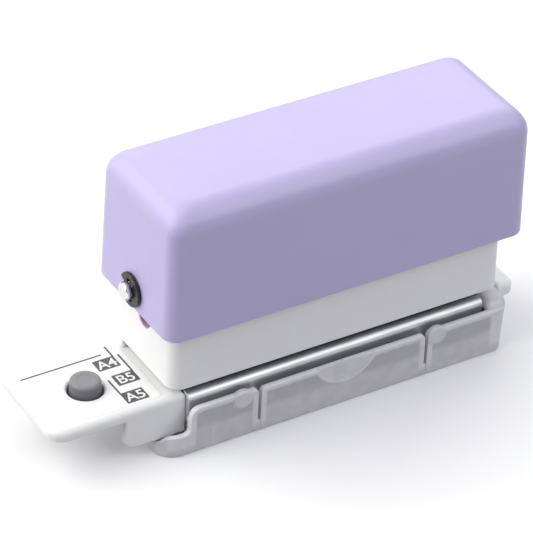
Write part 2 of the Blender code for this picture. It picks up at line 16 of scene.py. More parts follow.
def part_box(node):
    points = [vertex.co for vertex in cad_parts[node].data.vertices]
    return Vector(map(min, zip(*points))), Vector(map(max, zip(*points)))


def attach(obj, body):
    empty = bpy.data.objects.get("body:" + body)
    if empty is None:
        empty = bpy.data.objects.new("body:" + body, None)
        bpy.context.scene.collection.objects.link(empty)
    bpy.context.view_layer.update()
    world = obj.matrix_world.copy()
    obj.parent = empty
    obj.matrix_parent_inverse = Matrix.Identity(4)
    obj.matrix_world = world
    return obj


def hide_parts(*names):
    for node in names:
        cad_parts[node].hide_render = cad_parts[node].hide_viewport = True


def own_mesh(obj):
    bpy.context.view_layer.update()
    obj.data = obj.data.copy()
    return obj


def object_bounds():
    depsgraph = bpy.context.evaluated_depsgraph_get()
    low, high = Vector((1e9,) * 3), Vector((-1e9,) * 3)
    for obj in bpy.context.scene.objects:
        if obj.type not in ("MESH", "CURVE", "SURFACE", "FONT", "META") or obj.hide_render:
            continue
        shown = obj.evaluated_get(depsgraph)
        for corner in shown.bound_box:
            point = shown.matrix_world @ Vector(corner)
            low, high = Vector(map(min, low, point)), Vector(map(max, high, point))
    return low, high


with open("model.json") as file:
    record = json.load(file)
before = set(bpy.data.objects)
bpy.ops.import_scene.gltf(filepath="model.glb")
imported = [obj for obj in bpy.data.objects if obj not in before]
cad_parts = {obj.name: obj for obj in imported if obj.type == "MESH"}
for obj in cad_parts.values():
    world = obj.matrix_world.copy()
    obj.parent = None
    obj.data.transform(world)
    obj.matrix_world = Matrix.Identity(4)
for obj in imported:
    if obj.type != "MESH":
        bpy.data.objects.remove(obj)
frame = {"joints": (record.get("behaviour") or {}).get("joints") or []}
cad_low, cad_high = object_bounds()
MM = 0.001


# ---------------------------------------------------------------- studio
# A sheet of matt white card under the punch and four soft boxes: the key above the gauge
# end, weak ones in front and above, and a broad one behind.  None belongs to the object.

CAMERA_PLACE = (-0.26194, -0.39527, 0.35771)
CAMERA_AIM = (-0.0100, -0.0015, 0.0250)
CAMERA_ROLL = math.radians(2.965)
LENS_MM = 236.4
SENSOR_MM = 36.0
FLOOR_SIZE = 6.0
SOFT_BOXES = {
    # name: (direction from the punch, distance, width, height, power, colour)
    "key_box": ((-0.74, 0.34, 0.58), 1.1, 1.30, 1.30, 16.0, (1.0, 1.0, 0.97)),
    "front_box": ((0.40, -0.68, 0.61), 1.0, 0.90, 0.60, 3.9, (0.95, 0.98, 1.0)),
    "rear_box": ((0.44, 0.69, 0.58), 1.1, 1.10, 0.80, 4.6, (1.0, 1.0, 1.0)),
    "top_box": ((0.06, 0.05, 1.00), 1.2, 1.00, 1.00, 1.8, (1.0, 1.0, 0.97)),
}

camera_data = bpy.data.cameras.new("camera")
camera_data.lens = LENS_MM
camera_data.sensor_width = SENSOR_MM
camera_data.clip_start = 0.01
camera_data.clip_end = 20.0
camera = bpy.data.objects.new("camera", camera_data)
bpy.context.scene.collection.objects.link(camera)
camera.location = CAMERA_PLACE
towards = Vector(CAMERA_AIM) - Vector(CAMERA_PLACE)
camera.rotation_mode = "QUATERNION"
camera.rotation_quaternion = towards.to_track_quat("-Z", "Y") @ Quaternion((0, 0, 1), CAMERA_ROLL)
bpy.context.scene.camera = camera

for box_name, (direction, distance, width, height, power, colour) in SOFT_BOXES.items():
    light_data = bpy.data.lights.new(box_name, "AREA")
    light_data.shape = "RECTANGLE"
    light_data.size = width
    light_data.size_y = height
    light_data.energy = power
    light_data.color = colour
    light = bpy.data.objects.new(box_name, light_data)
    light.location = Vector(direction).normalized() * distance
    light.rotation_euler = (-Vector(direction)).to_track_quat("-Z", "Y").to_euler()
    bpy.context.scene.collection.objects.link(light)

world = bpy.data.worlds.new("studio")
world.use_nodes = True
world.node_tree.nodes["Background"].inputs["Color"].default_value = (0.96, 0.945, 1.0, 1.0)
world.node_tree.nodes["Background"].inputs["Strength"].default_value = 0.31
bpy.context.scene.world = world
bpy.context.scene.view_settings.view_transform = "Standard"

bpy.ops.mesh.primitive_plane_add(size=FLOOR_SIZE, location=(0.0, 0.0, cad_low.z - 0.05 * MM))
floor = bpy.context.object
floor.name = "card_floor"
card = bpy.data.materials.new("matt_card")
card.use_nodes = True
card_shader = card.node_tree.nodes["Principled BSDF"]
card_shader.inputs["Base Color"].default_value = (0.93, 0.93, 0.935, 1.0)
card_shader.inputs["Roughness"].default_value = 0.95
card_shader.inputs["Specular IOR Level"].default_value = 0.1
floor.data.materials.append(card)
floor.visible_diffuse = False


# ---------------------------------------------------------------- press cover
# One moulded shell of lavender ABS with a satin, lightly sparked surface.  It is drafted for
# the mould, its top edge is a wide fillet, and two ribs inside bear on the punch heads.

COVER_WALL = 1.7 * MM
COVER_DRAFT = math.tan(math.radians(0.9))
COVER_TOP_RADIUS = 4.3 * MM
COVER_CORNER = 2.5 * MM
COVER_TOP_CORNER = 1.7 * MM
COVER_CROWN = 0.12 * MM
COVER_LIP = 0.35 * MM
COVER_LIFT = 0.25 * MM
RIB_HALF_LENGTH = 27.0 * MM
RIB_Y = 1.8 * MM
RIB_THICKNESS = 1.4 * MM
SHAFT_HOLE = 1.8 * MM
LAVENDER = (0.515, 0.467, 0.725)
LAVENDER_DEEP = (0.496, 0.448, 0.712)
CORNER_STEPS = 12
EDGE_STEPS = 8
PAST_ENDS = 60 * MM


def settle(mesh):
    """Merge points that coincide, close what is open and turn every face outwards."""
    bm = bmesh.new()
    bm.from_mesh(mesh)
    bmesh.ops.remove_doubles(bm, verts=bm.verts, dist=0.001 * MM)
    bmesh.ops.dissolve_degenerate(bm, edges=bm.edges, dist=0.0005 * MM)
    open_edges = [edge for edge in bm.edges if edge.is_boundary]
    if open_edges:
        bmesh.ops.holes_fill(bm, edges=open_edges)
    bmesh.ops.recalc_face_normals(bm, faces=bm.faces)
    bm.to_mesh(mesh)
    bm.free()


def in_order(points, order):
    """Points (a, b, c) laid on the axes that order names: "XZY" puts a on X, b on Z and c on Y."""
    placed = np.empty_like(points)
    for source, axis in enumerate(order):
        placed[..., "XYZ".index(axis)] = points[..., source]
    return placed


def new_piece(name, points, faces):
    """Object at the origin whose mesh holds these points and faces, closed and facing out."""
    mesh = bpy.data.meshes.new(name)
    mesh.from_pydata(np.reshape(points, (-1, 3)).tolist(), [], faces)
    settle(mesh)
    piece = bpy.data.objects.new(name, mesh)
    bpy.context.scene.collection.objects.link(piece)
    return piece


def surface(name, points):
    """Closed skin over rows of points: each row closes on itself and quads join it to the next."""
    rows, columns = points.shape[:2]
    index = np.arange(rows * columns).reshape(rows, columns)
    index = np.hstack([index, index[:, :1]])
    quads = np.stack([index[:-1, :-1], index[:-1, 1:], index[1:, 1:], index[1:, :-1]], axis=-1)
    return new_piece(name, points, quads.reshape(-1, 4).tolist())


def round_outline(low, high, inset, radii):
    """Rows of a rectangle with four round corners, one row for each inset.

    A corner is a quarter circle about the point that lies one radius in from both sides, and
    the sides have moved in by the inset.  Corners: right rear, left rear, left front, right front.
    """
    inset = np.asarray(inset, float)[:, None]
    centre = [(low[axis] + high[axis]) / 2 for axis in (0, 1)]
    half = [np.maximum((high[axis] - low[axis]) / 2 - inset, 0.0) for axis in (0, 1)]
    corner = np.repeat(np.arange(4), CORNER_STEPS + 1)
    angle = np.tile(np.linspace(0.0, math.pi / 2, CORNER_STEPS + 1), 4) + corner * math.pi / 2
    radius = np.minimum(np.broadcast_to(radii, (len(inset), 4)), np.minimum(*half))[:, corner]
    side_a = np.array([1, -1, -1, 1])[corner]
    side_b = np.array([1, 1, -1, -1])[corner]
    across = centre[0] + side_a * (half[0] - radius) + radius * np.cos(angle)
    along = centre[1] + side_b * (half[1] - radius) + radius * np.sin(angle)
    return across, along


def moulded(name, low, high, profile, radii, order="XYZ"):
    """Body of stacked round-cornered outlines; the profile's rows are (inset, height)."""
    inset, height = np.asarray(profile, float).T
    across, along = round_outline(low, high, inset, radii)
    level = np.broadcast_to(height[:, None], across.shape)
    return surface(name, in_order(np.stack([across, along, level], axis=-1), order))


def quarter_round(radius, steps=EDGE_STEPS):
    """Two arrays along a quarter circle: how far in from the side, and how far up its edge."""
    angle = np.linspace(0.0, math.pi / 2, steps + 1)
    return radius * (1 - np.sin(angle)), radius * (1 - np.cos(angle))


def slab(name, low, high, corners, low_edge, high_edge, order="XYZ"):
    """Round-cornered block with quarter-round lower and upper edges, in the order's axes."""
    low, high = ([point["XYZ".index(axis)] for axis in order] for point in (low, high))
    middle = min(high[0] - low[0], high[1] - low[1]) / 2
    low_in, low_up = quarter_round(low_edge)
    high_in, high_up = quarter_round(high_edge)
    inset = np.concatenate([[middle], low_in, high_in[::-1], [middle]])
    height = np.concatenate([[low[2]], low[2] + low_up, high[2] - high_up[::-1], [high[2]]])
    corners = np.broadcast_to(corners, 4)
    radii = np.maximum(corners - inset[:, None], 0.3 * corners)
    return moulded(name, low, high, np.column_stack([inset, height]), radii, order)


def extruded(name, outline, low, high, order="XYZ", edge=0.0):
    """Closed flat outline carried straight from low to high, with its end edges softened."""
    count = len(outline)
    ends = [np.column_stack([outline, np.full(count, height)]) for height in (low, high)]
    first = np.arange(count)
    second = np.roll(first, -1)
    sides = np.column_stack([first, second, second + count, first + count]).tolist()
    caps = [first[::-1].tolist(), (first + count).tolist()]
    piece = new_piece(name, in_order(np.concatenate(ends), order), sides + caps)
    if edge:
        bm = bmesh.new()
        bm.from_mesh(piece.data)
        ends = [face for face in bm.faces if len(face.verts) == count]
        rims = {rim for face in ends for rim in face.edges}
        shape = {"offset": edge, "segments": 3, "profile": 0.5, "affect": "EDGES"}
        bmesh.ops.bevel(bm, geom=list(rims), clamp_overlap=False, **shape)
        bm.to_mesh(piece.data)
        bm.free()
    return piece


def circle(radius, centre=(0.0, 0.0), steps=64):
    """Points round a circle."""
    angle = np.linspace(0.0, 2 * math.pi, steps, endpoint=False)
    return np.column_stack([centre[0] + radius * np.cos(angle), centre[1] + radius * np.sin(angle)])


def fuse(piece, others, operation="UNION"):
    """Join other solids to a piece, or cut them from it, and remove them."""
    for other in others:
        step = piece.modifiers.new("fuse", "BOOLEAN")
        step.operation = operation
        step.solver = "EXACT"
        step.object = other
    graph = bpy.context.evaluated_depsgraph_get()
    mesh = bpy.data.meshes.new_from_object(piece.evaluated_get(graph))
    piece.modifiers.clear()
    piece.data = mesh
    for other in others:
        bpy.data.objects.remove(other, do_unlink=True)


def finish_piece(piece, material, body, nodes=(), sharp=35.0):
    """Shade a piece, give it its finish, tie it to its body and hide the CAD nodes it replaces."""
    piece.data.materials.clear()
    piece.data.materials.append(material)
    piece.data.shade_smooth()
    piece.data.set_sharp_from_angle(angle=math.radians(sharp))
    flat = piece.modifiers.new("flat_faces", "WEIGHTED_NORMAL")
    flat.keep_sharp = True
    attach(piece, body)
    if nodes:
        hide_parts(*nodes)


def new_finish(name, colour, roughness, metallic=0.0):
    """Principled material, its shader and its Object coordinates."""
    material = bpy.data.materials.new(name)
    material.use_nodes = True
    shader = material.node_tree.nodes["Principled BSDF"]
    shader.inputs["Base Color"].default_value = (*colour, 1.0)
    shader.inputs["Roughness"].default_value = roughness
    shader.inputs["Metallic"].default_value = metallic
    coordinates = material.node_tree.nodes.new("ShaderNodeTexCoord")
    return material, shader, coordinates.outputs["Object"]


def mottle(material, where, scale, detail=2.0, stretch=(1.0, 1.0, 1.0)):
    """Noise of so many features a metre, stretched along the axes with a low factor."""
    tree = material.node_tree
    mapping = tree.nodes.new("ShaderNodeMapping")
    mapping.inputs["Scale"].default_value = stretch
    noise = tree.nodes.new("ShaderNodeTexNoise")
    noise.inputs["Scale"].default_value = scale
    noise.inputs["Detail"].default_value = detail
    tree.links.new(where, mapping.inputs["Vector"])
    tree.links.new(mapping.outputs["Vector"], noise.inputs["Vector"])
    return noise.outputs["Fac"]


def spread(material, value, low, high):
    """The middle of a noise stretched over a range of values."""
    tree = material.node_tree
    node = tree.nodes.new("ShaderNodeMapRange")
    node.inputs["From Min"].default_value = 0.3
    node.inputs["From Max"].default_value = 0.7
    node.inputs["To Min"].default_value = low
    node.inputs["To Max"].default_value = high
    tree.links.new(value, node.inputs["Value"])
    return node.outputs["Result"]


def blend_colours(material, value, first, second):
    """A colour between two, by a value from 0 to 1."""
    tree = material.node_tree
    node = tree.nodes.new("ShaderNodeMix")
    node.data_type = "RGBA"
    node.inputs["A"].default_value = (*first, 1.0)
    node.inputs["B"].default_value = (*second, 1.0)
    tree.links.new(value, node.inputs["Factor"])
    return node.outputs["Result"]


def uneven_gloss(material, shader, where, scale, detail, low, high):
    """Roughness that wanders between two values by a noise."""
    gloss = spread(material, mottle(material, where, scale, detail), low, high)
    material.node_tree.links.new(gloss, shader.inputs["Roughness"])


def two_tone(material, shader, where, scale, detail, first, second):
    """Colour that wanders between two by a noise."""
    share = spread(material, mottle(material, where, scale, detail), 0.0, 1.0)
    colour = blend_colours(material, share, first, second)
    material.node_tree.links.new(colour, shader.inputs["Base Color"])


def relief(material, shader, value, depth):
    """Bump of a given depth in metres."""
    tree = material.node_tree
    node = tree.nodes.new("ShaderNodeBump")
    node.inputs["Distance"].default_value = depth
    node.inputs["Strength"].default_value = 1.0
    tree.links.new(value, node.inputs["Height"])
    tree.links.new(node.outputs["Normal"], shader.inputs["Normal"])


def moulded_plastic(name, colour, deep, roughness, grain, grain_depth):
    """Sparked moulded plastic: faint flow clouds, uneven gloss and a fine even grain."""
    material, shader, where = new_finish(name, colour, roughness)
    two_tone(material, shader, where, 70.0, 3.0, colour, deep)
    uneven_gloss(material, shader, where, 900.0, 3.0, roughness - 0.05, roughness + 0.05)
    relief(material, shader, mottle(material, where, grain, 2.0), grain_depth)
    shader.inputs["Specular IOR Level"].default_value = 0.45
    return material, shader


low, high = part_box("press_cover")
height = high.z - low.z
base_in, base_up = quarter_round(COVER_LIP)
top_in, top_up = quarter_round(COVER_TOP_RADIUS, 16)
side_up = np.linspace(COVER_LIP, height - COVER_CROWN - COVER_TOP_RADIUS, 6)
side_in = COVER_DRAFT * side_up[-1]
share = np.linspace(0.0, 1.0, 9)[1:]
half_width = (high.y - low.y) / 2
crown_in = side_in + COVER_TOP_RADIUS + share * (half_width - side_in - COVER_TOP_RADIUS)
outside = np.concatenate(
    [
        np.column_stack([base_in, base_up]),
        np.column_stack([COVER_DRAFT * side_up, side_up])[1:],
        np.column_stack([side_in + top_in, height - COVER_CROWN - top_up])[::-1][1:],
        np.column_stack([crown_in, height - COVER_CROWN * (1 - share) ** 2]),
    ]
)
outside_radii = COVER_TOP_CORNER + (COVER_CORNER - COVER_TOP_CORNER) * np.clip(
    1 - (outside[:, 0] - side_in) / COVER_TOP_RADIUS, 0.0, 1.0
)
inner_round = COVER_TOP_RADIUS - COVER_WALL
inner_in, inner_up = quarter_round(inner_round)
inner_side = side_in + COVER_WALL
inside = np.concatenate(
    [
        [[half_width, height - COVER_WALL]],
        np.column_stack([inner_side + inner_in, height - COVER_WALL - inner_up]),
        np.column_stack([COVER_WALL - base_in, base_up])[::-1],
    ]
)
profile = np.concatenate([inside, outside])
radii = np.concatenate([np.full(len(inside), COVER_CORNER - COVER_WALL), outside_radii])
profile[:, 1] = low.z + COVER_LIFT + profile[:, 1] * (height - COVER_LIFT) / height
cover = moulded("press_cover_shell", low, high, profile, radii[:, None])
shaft_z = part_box("drive_shaft")[0].z / 2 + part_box("drive_shaft")[1].z / 2
rib_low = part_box("punch_1")[1].z + 0.2 * MM
ribs = [
    slab(
        "rib",
        (-RIB_HALF_LENGTH, side * RIB_Y - RIB_THICKNESS / 2, rib_low),
        (RIB_HALF_LENGTH, side * RIB_Y + RIB_THICKNESS / 2, high.z - COVER_WALL / 2),
        0.3 * MM,
        0.3 * MM,
        0.1 * MM,
    )
    for side in (-1, 1)
]
fuse(cover, ribs)
shaft_hole = extruded("hole", circle(SHAFT_HOLE, (0.0, shaft_z)), -PAST_ENDS, PAST_ENDS, "YZX")
fuse(cover, [shaft_hole], "DIFFERENCE")
lavender, lavender_shader = moulded_plastic(
    "lavender_abs", LAVENDER, LAVENDER_DEEP, 0.36, 4200.0, 0.006 * MM
)
lavender_shader.inputs["Subsurface Weight"].default_value = 0.12
lavender_shader.inputs["Subsurface Radius"].default_value = (1.0, 0.8, 1.2)
lavender_shader.inputs["Subsurface Scale"].default_value = 0.8 * MM
finish_piece(cover, lavender, "press", ["press_cover"])


# ---------------------------------------------------------------- drive shaft and its clips
# A ground steel bar through all six punch heads and both ends of the cover.  Each end has a
# turned groove, where a blackened spring-steel clip of E shape snaps on from the rear.

SHAFT_CHAMFER = 0.22 * MM
SHAFT_DOME = 0.05 * MM
GROOVE_RADIUS = 1.2 * MM
GROOVE_IN = 0.05 * MM
GROOVE_WIDTH = 0.8 * MM
CLIP_EDGE = 0.07 * MM
CLIP_THINNER = 0.12 * MM
CLIP_SMALLER = 0.15 * MM
CLIP_MOUTH = math.radians(24.0)
CLIP_PRONG = math.radians(50.0)
CLIP_TIP = math.radians(62.0)
CLIP_CAVITY = 2.05 * MM
CLIP_GRIP = GROOVE_RADIUS + 0.1 * MM
BLACK = (0.03, 0.03, 0.033)
BLACK_DEEP = (0.010, 0.010, 0.012)
BLACK_WORN = (0.060, 0.060, 0.064)


def smooth_step(value, start, stop):
    """Rises from 0 at start to 1 at stop without a corner."""
    share = np.clip((value - start) / (stop - start), 0.0, 1.0)
    return share * share * (3 - 2 * share)


def turned(name, profile, centre, axis="Z", steps=72):
    """Profile of (radius, height) pairs turned about an axis through the centre."""
    radius, level = np.asarray(profile, float).T[:, :, None]
    angle = np.linspace(0.0, 2 * math.pi, steps, endpoint=False)[None, :]
    points = np.stack([radius * np.cos(angle), radius * np.sin(angle), level + 0 * angle], axis=-1)
    order = {"X": "YZX", "Y": "XZY", "Z": "XYZ"}[axis]
    return surface(name, in_order(points, order) + np.array(centre))


def eased(corners, radii, closed=False, steps=6):
    """Line through corners, with each corner replaced by the arc that touches both its sides.

    The arc's centre lies on the corner's bisector at radius / sin(half the corner's angle), and
    the arc turns evenly from the first touching point to the second.
    """
    corners = np.asarray(corners, float)
    line = []
    for index, radius in enumerate(radii):
        corner = corners[index]
        at_end = index in (0, len(corners) - 1)
        if radius == 0 or (at_end and not closed):
            line.append(corner)
            continue
        back = corners[index - 1] - corner
        ahead = corners[(index + 1) % len(corners)] - corner
        back = back / np.linalg.norm(back)
        ahead = ahead / np.linalg.norm(ahead)
        half = math.acos(float(np.clip(back @ ahead, -1.0, 1.0))) / 2
        bisector = (back + ahead) / np.linalg.norm(back + ahead)
        centre = corner + bisector * radius / math.sin(half)
        start = corner + back * radius / math.tan(half) - centre
        stop = corner + ahead * radius / math.tan(half) - centre
        turn = math.pi - 2 * half
        share = np.linspace(0.0, 1.0, steps + 1)[:, None]
        arc = np.sin((1 - share) * turn) * start + np.sin(share * turn) * stop
        line.extend(centre + arc / math.sin(turn))
    return np.array(line)


def turned_marks(material, shader, where, centre, axis, depth):
    """Fine rings left by a lathe: noise over the distance from the axis and along it."""
    tree = material.node_tree
    across = {"X": (0, 1, 1), "Z": (1, 1, 0)}[axis]
    along = {"X": (1, 0, 0), "Z": (0, 0, 1)}[axis]
    marks = []
    for kept in (across, along):
        mapping = tree.nodes.new("ShaderNodeMapping")
        mapping.inputs["Scale"].default_value = kept
        mapping.inputs["Location"].default_value = [-c * k for c, k in zip(centre, kept)]
        length = tree.nodes.new("ShaderNodeVectorMath")
        length.operation = "LENGTH"
        noise = tree.nodes.new("ShaderNodeTexNoise")
        noise.noise_dimensions = "1D"
        noise.inputs["Scale"].default_value = 9000.0
        noise.inputs["Detail"].default_value = 1.0
        tree.links.new(where, mapping.inputs["Vector"])
        tree.links.new(mapping.outputs["Vector"], length.inputs[0])
        tree.links.new(length.outputs["Value"], noise.inputs["W"])
        marks.append(noise.outputs["Fac"])
    total = tree.nodes.new("ShaderNodeMath")
    total.operation = "ADD"
    tree.links.new(marks[0], total.inputs[0])
    tree.links.new(marks[1], total.inputs[1])
    relief(material, shader, total.outputs["Value"], depth)


low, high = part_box("drive_shaft")
shaft_radius = (high.z - low.z) / 2
cover_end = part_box("press_cover")[1].x
groove_in = cover_end + GROOVE_IN
groove_out = groove_in + GROOVE_WIDTH
half_profile = eased(
    [
        (0.0, high.x),
        (shaft_radius - SHAFT_CHAMFER, high.x - SHAFT_DOME),
        (shaft_radius, high.x - SHAFT_DOME - SHAFT_CHAMFER),
        (shaft_radius, groove_out),
        (GROOVE_RADIUS, groove_out),
        (GROOVE_RADIUS, groove_in),
        (shaft_radius, groove_in),
        (shaft_radius, 0.0),
    ],
    [0, 0.12 * MM, 0.12 * MM, 0.06 * MM, 0.08 * MM, 0.08 * MM, 0.06 * MM, 0],
    steps=4,
)
shaft_profile = np.concatenate([half_profile, (half_profile * [1, -1])[::-1][1:]])
shaft = turned("drive_shaft_bar", shaft_profile, (0.0, 0.0, shaft_z), "X")
ground, ground_shader, ground_where = new_finish("ground_steel", (0.74, 0.72, 0.73), 0.2, 1.0)
uneven_gloss(ground, ground_shader, ground_where, 1500.0, 4.0, 0.14, 0.30)
turned_marks(ground, ground_shader, ground_where, (0.0, 0.0, shaft_z), "X", 0.0015 * MM)
finish_piece(shaft, ground, "press", ["drive_shaft"])

low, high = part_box("retaining_clip_left")
clip_radius = (high.z - low.z) / 2 - CLIP_SMALLER
outer = np.linspace(CLIP_MOUTH, 2 * math.pi - CLIP_MOUTH, 73)
outer_line = clip_radius * np.column_stack([np.cos(outer), np.sin(outer)])
inner = np.linspace(2 * math.pi - CLIP_MOUTH, CLIP_MOUTH, 181)
from_mouth = np.minimum(inner, 2 * math.pi - inner)
ease = math.radians(8.0)
back_prong = math.pi - CLIP_PRONG
in_cavity = smooth_step(from_mouth, CLIP_TIP, CLIP_TIP + ease)
in_cavity = in_cavity * (1 - smooth_step(from_mouth, back_prong - ease, back_prong))
inner_radius = CLIP_GRIP + (CLIP_CAVITY - CLIP_GRIP) * in_cavity
inner_line = inner_radius[:, None] * np.column_stack([np.cos(inner), np.sin(inner)])
clip_outline = np.concatenate([outer_line, inner_line]) + np.array([0.0, shaft_z])
blackened, black_shader, black_where = new_finish("blackened_steel", BLACK, 0.32, 0.6)
two_tone(blackened, black_shader, black_where, 1400.0, 5.0, BLACK_DEEP, BLACK_WORN)
uneven_gloss(blackened, black_shader, black_where, 2600.0, 3.0, 0.24, 0.46)
relief(blackened, black_shader, mottle(blackened, black_where, 3500.0, 3.0), 0.01 * MM)
for side in ("left", "right"):
    low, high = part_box(f"retaining_clip_{side}")
    clip_ends = (low.x + CLIP_THINNER, high.x) if side == "left" else (low.x, high.x - CLIP_THINNER)
    clip = extruded(f"retaining_ring_{side}", clip_outline, *clip_ends, "YZX", CLIP_EDGE)
    finish_piece(clip, blackened, "press", [f"retaining_clip_{side}"])


# ---------------------------------------------------------------- punches
# Six hardened steel punches hang on the shaft by a cross hole in the head.  The shank is
# ground, and the tip is hollowed across so that two points bite first.

PUNCH_COUNT = 6
PUNCH_RADIUS = 2.75 * MM
HEAD_BELOW = 3.2 * MM
TIP_HOLLOW = 0.7 * MM
TIP_CURVE = 5.0 * MM


def punch(name, node):
    """Turned head and shank; the end face rises where a crosswise cylinder has hollowed it.

    The rise is curve radius less its sagitta at this distance from the middle: the root of
    (curve squared - x squared), less curve, plus the hollow's depth, and never below zero.
    """
    low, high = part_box(node)
    head_radius = (high.x - low.x) / 2
    neck_z = shaft_z - HEAD_BELOW
    corners = [
        (0.0, high.z),
        (head_radius, high.z),
        (head_radius, neck_z),
        (PUNCH_RADIUS, neck_z),
        (PUNCH_RADIUS, low.z + 1.2 * MM),
    ]
    upper = eased(corners, [0, 0.4 * MM, 0.15 * MM, 0.2 * MM, 0])
    end_radius = PUNCH_RADIUS * np.linspace(1.0, 0.0, 9)
    radius = np.concatenate([upper[:, 0], end_radius])[:, None]
    level = np.concatenate([upper[:, 1], np.full(len(end_radius), low.z)])[:, None]
    angle = np.linspace(0.0, 2 * math.pi, 96, endpoint=False)[None, :]
    across = radius * np.cos(angle)
    reach = np.minimum(np.abs(across), PUNCH_RADIUS)
    rise = np.sqrt(TIP_CURVE**2 - reach**2) - TIP_CURVE + TIP_HOLLOW
    rise = np.maximum(rise, 0.0)
    rise[: len(upper)] = 0.0
    middle = (low.x + high.x) / 2
    points = np.stack([middle + across, radius * np.sin(angle), level + rise], axis=-1)
    made = surface(name, points)
    hole = extruded("hole", circle(SHAFT_HOLE, (0.0, shaft_z)), low.x - MM, high.x + MM, "YZX")
    fuse(made, [hole], "DIFFERENCE")
    return made


PUNCH_PLACES = []
for number in range(1, PUNCH_COUNT + 1):
    low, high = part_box(f"punch_{number}")
    hardened, hardened_shader, hardened_where = new_finish(
        f"hardened_steel_{number}", (0.70, 0.69, 0.70), 0.24, 1.0
    )
    uneven_gloss(hardened, hardened_shader, hardened_where, 1200.0, 4.0, 0.18, 0.34)
    PUNCH_PLACES.append(((low.x + high.x) / 2, 0.0))
    punch_centre = (*PUNCH_PLACES[-1], 0.0)
    turned_marks(hardened, hardened_shader, hardened_where, punch_centre, "Z", 0.001 * MM)
    pin = punch(f"hole_punch_{number}", f"punch_{number}")
    finish_piece(pin, hardened, "press", [f"punch_{number}"])


# ---------------------------------------------------------------- return springs
# Six coils of plated wire stand on the guide plate round the punches and lift them again.
# The end coils are closed so that they sit flat.

SPRING_WIRE = 0.5 * MM
SPRING_TURNS = 5.0
PRESS_STROKE = next(j for j in frame["joints"] if j["name"] == "press_stroke")["range_m"][1]


def coil(name, centre, radius, low_z, high_z):
    """Round wire along a helix: the height eases in and out, so that the end turns close up."""
    turn = np.linspace(0.0, 2 * math.pi * SPRING_TURNS, int(SPRING_TURNS * 40) + 1)[:, None]
    share = turn / turn[-1]
    rise = share - np.sin(2 * math.pi * share) * 0.75 / (2 * math.pi)
    level = low_z + SPRING_WIRE / 2 + (high_z - low_z - SPRING_WIRE) * rise
    path = np.stack([radius * np.cos(turn), radius * np.sin(turn), level], axis=-1)
    tangent = np.gradient(path, axis=0)
    tangent /= np.linalg.norm(tangent, axis=-1, keepdims=True)
    outward = np.stack([np.cos(turn), np.sin(turn), 0 * turn], axis=-1)
    upward = np.cross(tangent, outward)
    around = np.linspace(0.0, 2 * math.pi, 12, endpoint=False)[None, :, None]
    points = path + SPRING_WIRE / 2 * (outward * np.cos(around) + upward * np.sin(around))
    return surface(name, points + np.array(centre))


sprung, sprung_shader, sprung_where = new_finish("plated_wire", (0.62, 0.62, 0.64), 0.28, 1.0)
uneven_gloss(sprung, sprung_shader, sprung_where, 2400.0, 3.0, 0.2, 0.4)
relief(sprung, sprung_shader, mottle(sprung, sprung_where, 6000.0, 2.0), 0.002 * MM)
for number in range(1, PUNCH_COUNT + 1):
    low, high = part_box(f"return_spring_{number}")
    centre = (*PUNCH_PLACES[number - 1], 0.0)
    spring = coil(f"coil_spring_{number}", centre, (high.y - low.y - SPRING_WIRE) / 2, low.z, high.z)
    finish_piece(spring, sprung, "frame", [f"return_spring_{number}"])
    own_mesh(spring)


# ---------------------------------------------------------------- punch housing
# White ABS box, open at the top, that carries the guide plate and the springs.  Its ends are
# slotted for the shaft and lined with a thin pink slide liner, and a foot along the rear
# stands on the base and stops the paper.

HOUSING_WALL = 1.8 * MM
HOUSING_CORNER = 2.5 * MM
HOUSING_EDGE = 0.35 * MM
PAPER_ROOF_Z = 12.0 * MM
PAPER_STOP_Y = 6.9 * MM
FLOOR_HOLE = 3.15 * MM
SLOT_RADIUS = 2.0 * MM
LINER_THICKNESS = 0.15 * MM
SCREW_PILOT = 0.85 * MM
WHITE = (0.885, 0.885, 0.885)
WHITE_DEEP = (0.865, 0.865, 0.865)
PINK = (0.64, 0.40, 0.62)
PINK_DEEP = (0.60, 0.37, 0.59)


def bores(radius, places, low_z, high_z, steps=64):
    """Upright round cutters, one at each place."""
    return [extruded("bore", circle(radius, place, steps), low_z, high_z) for place in places]


low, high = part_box("punch_housing")
edge_in, edge_up = quarter_round(HOUSING_EDGE)
half_width = (high.y - low.y) / 2
draft_in = COVER_DRAFT * (high.z - PAPER_ROOF_Z)
profile = np.concatenate(
    [
        [[half_width, PAPER_ROOF_Z]],
        np.column_stack([edge_in, PAPER_ROOF_Z + edge_up]),
        np.column_stack([draft_in + edge_in, high.z - edge_up])[::-1],
        [[HOUSING_WALL - 0.2 * MM, high.z], [HOUSING_WALL, high.z - 0.2 * MM]],
        [[HOUSING_WALL, PAPER_ROOF_Z + HOUSING_WALL], [half_width, PAPER_ROOF_Z + HOUSING_WALL]],
    ]
)
radii = np.maximum(HOUSING_CORNER - profile[:, :1], 0.4 * MM)
housing = moulded("housing_shell", low, high, profile, radii)
foot_low = (low.x, PAPER_STOP_Y, low.z)
foot_high = (high.x, high.y, PAPER_ROOF_Z + HOUSING_WALL)
foot_corners = np.array([HOUSING_CORNER, HOUSING_CORNER, 0.4 * MM, 0.4 * MM])
fuse(housing, [slab("foot", foot_low, foot_high, foot_corners, 0.2 * MM, 0.2 * MM)])
slot_high = shaft_z + 0.2 * MM
slot_low = shaft_z - PRESS_STROKE - 0.2 * MM
half_turn = np.linspace(0.0, math.pi, 25)
half_round = SLOT_RADIUS * np.column_stack([np.cos(half_turn), np.sin(half_turn)])
slot_outline = np.concatenate([half_round + [0.0, slot_high], [0.0, slot_low] - half_round])
SCREW_NODES = [f"clamp_screw_{number}" for number in range(1, 5)]
SCREW_BOXES = [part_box(node) for node in SCREW_NODES]
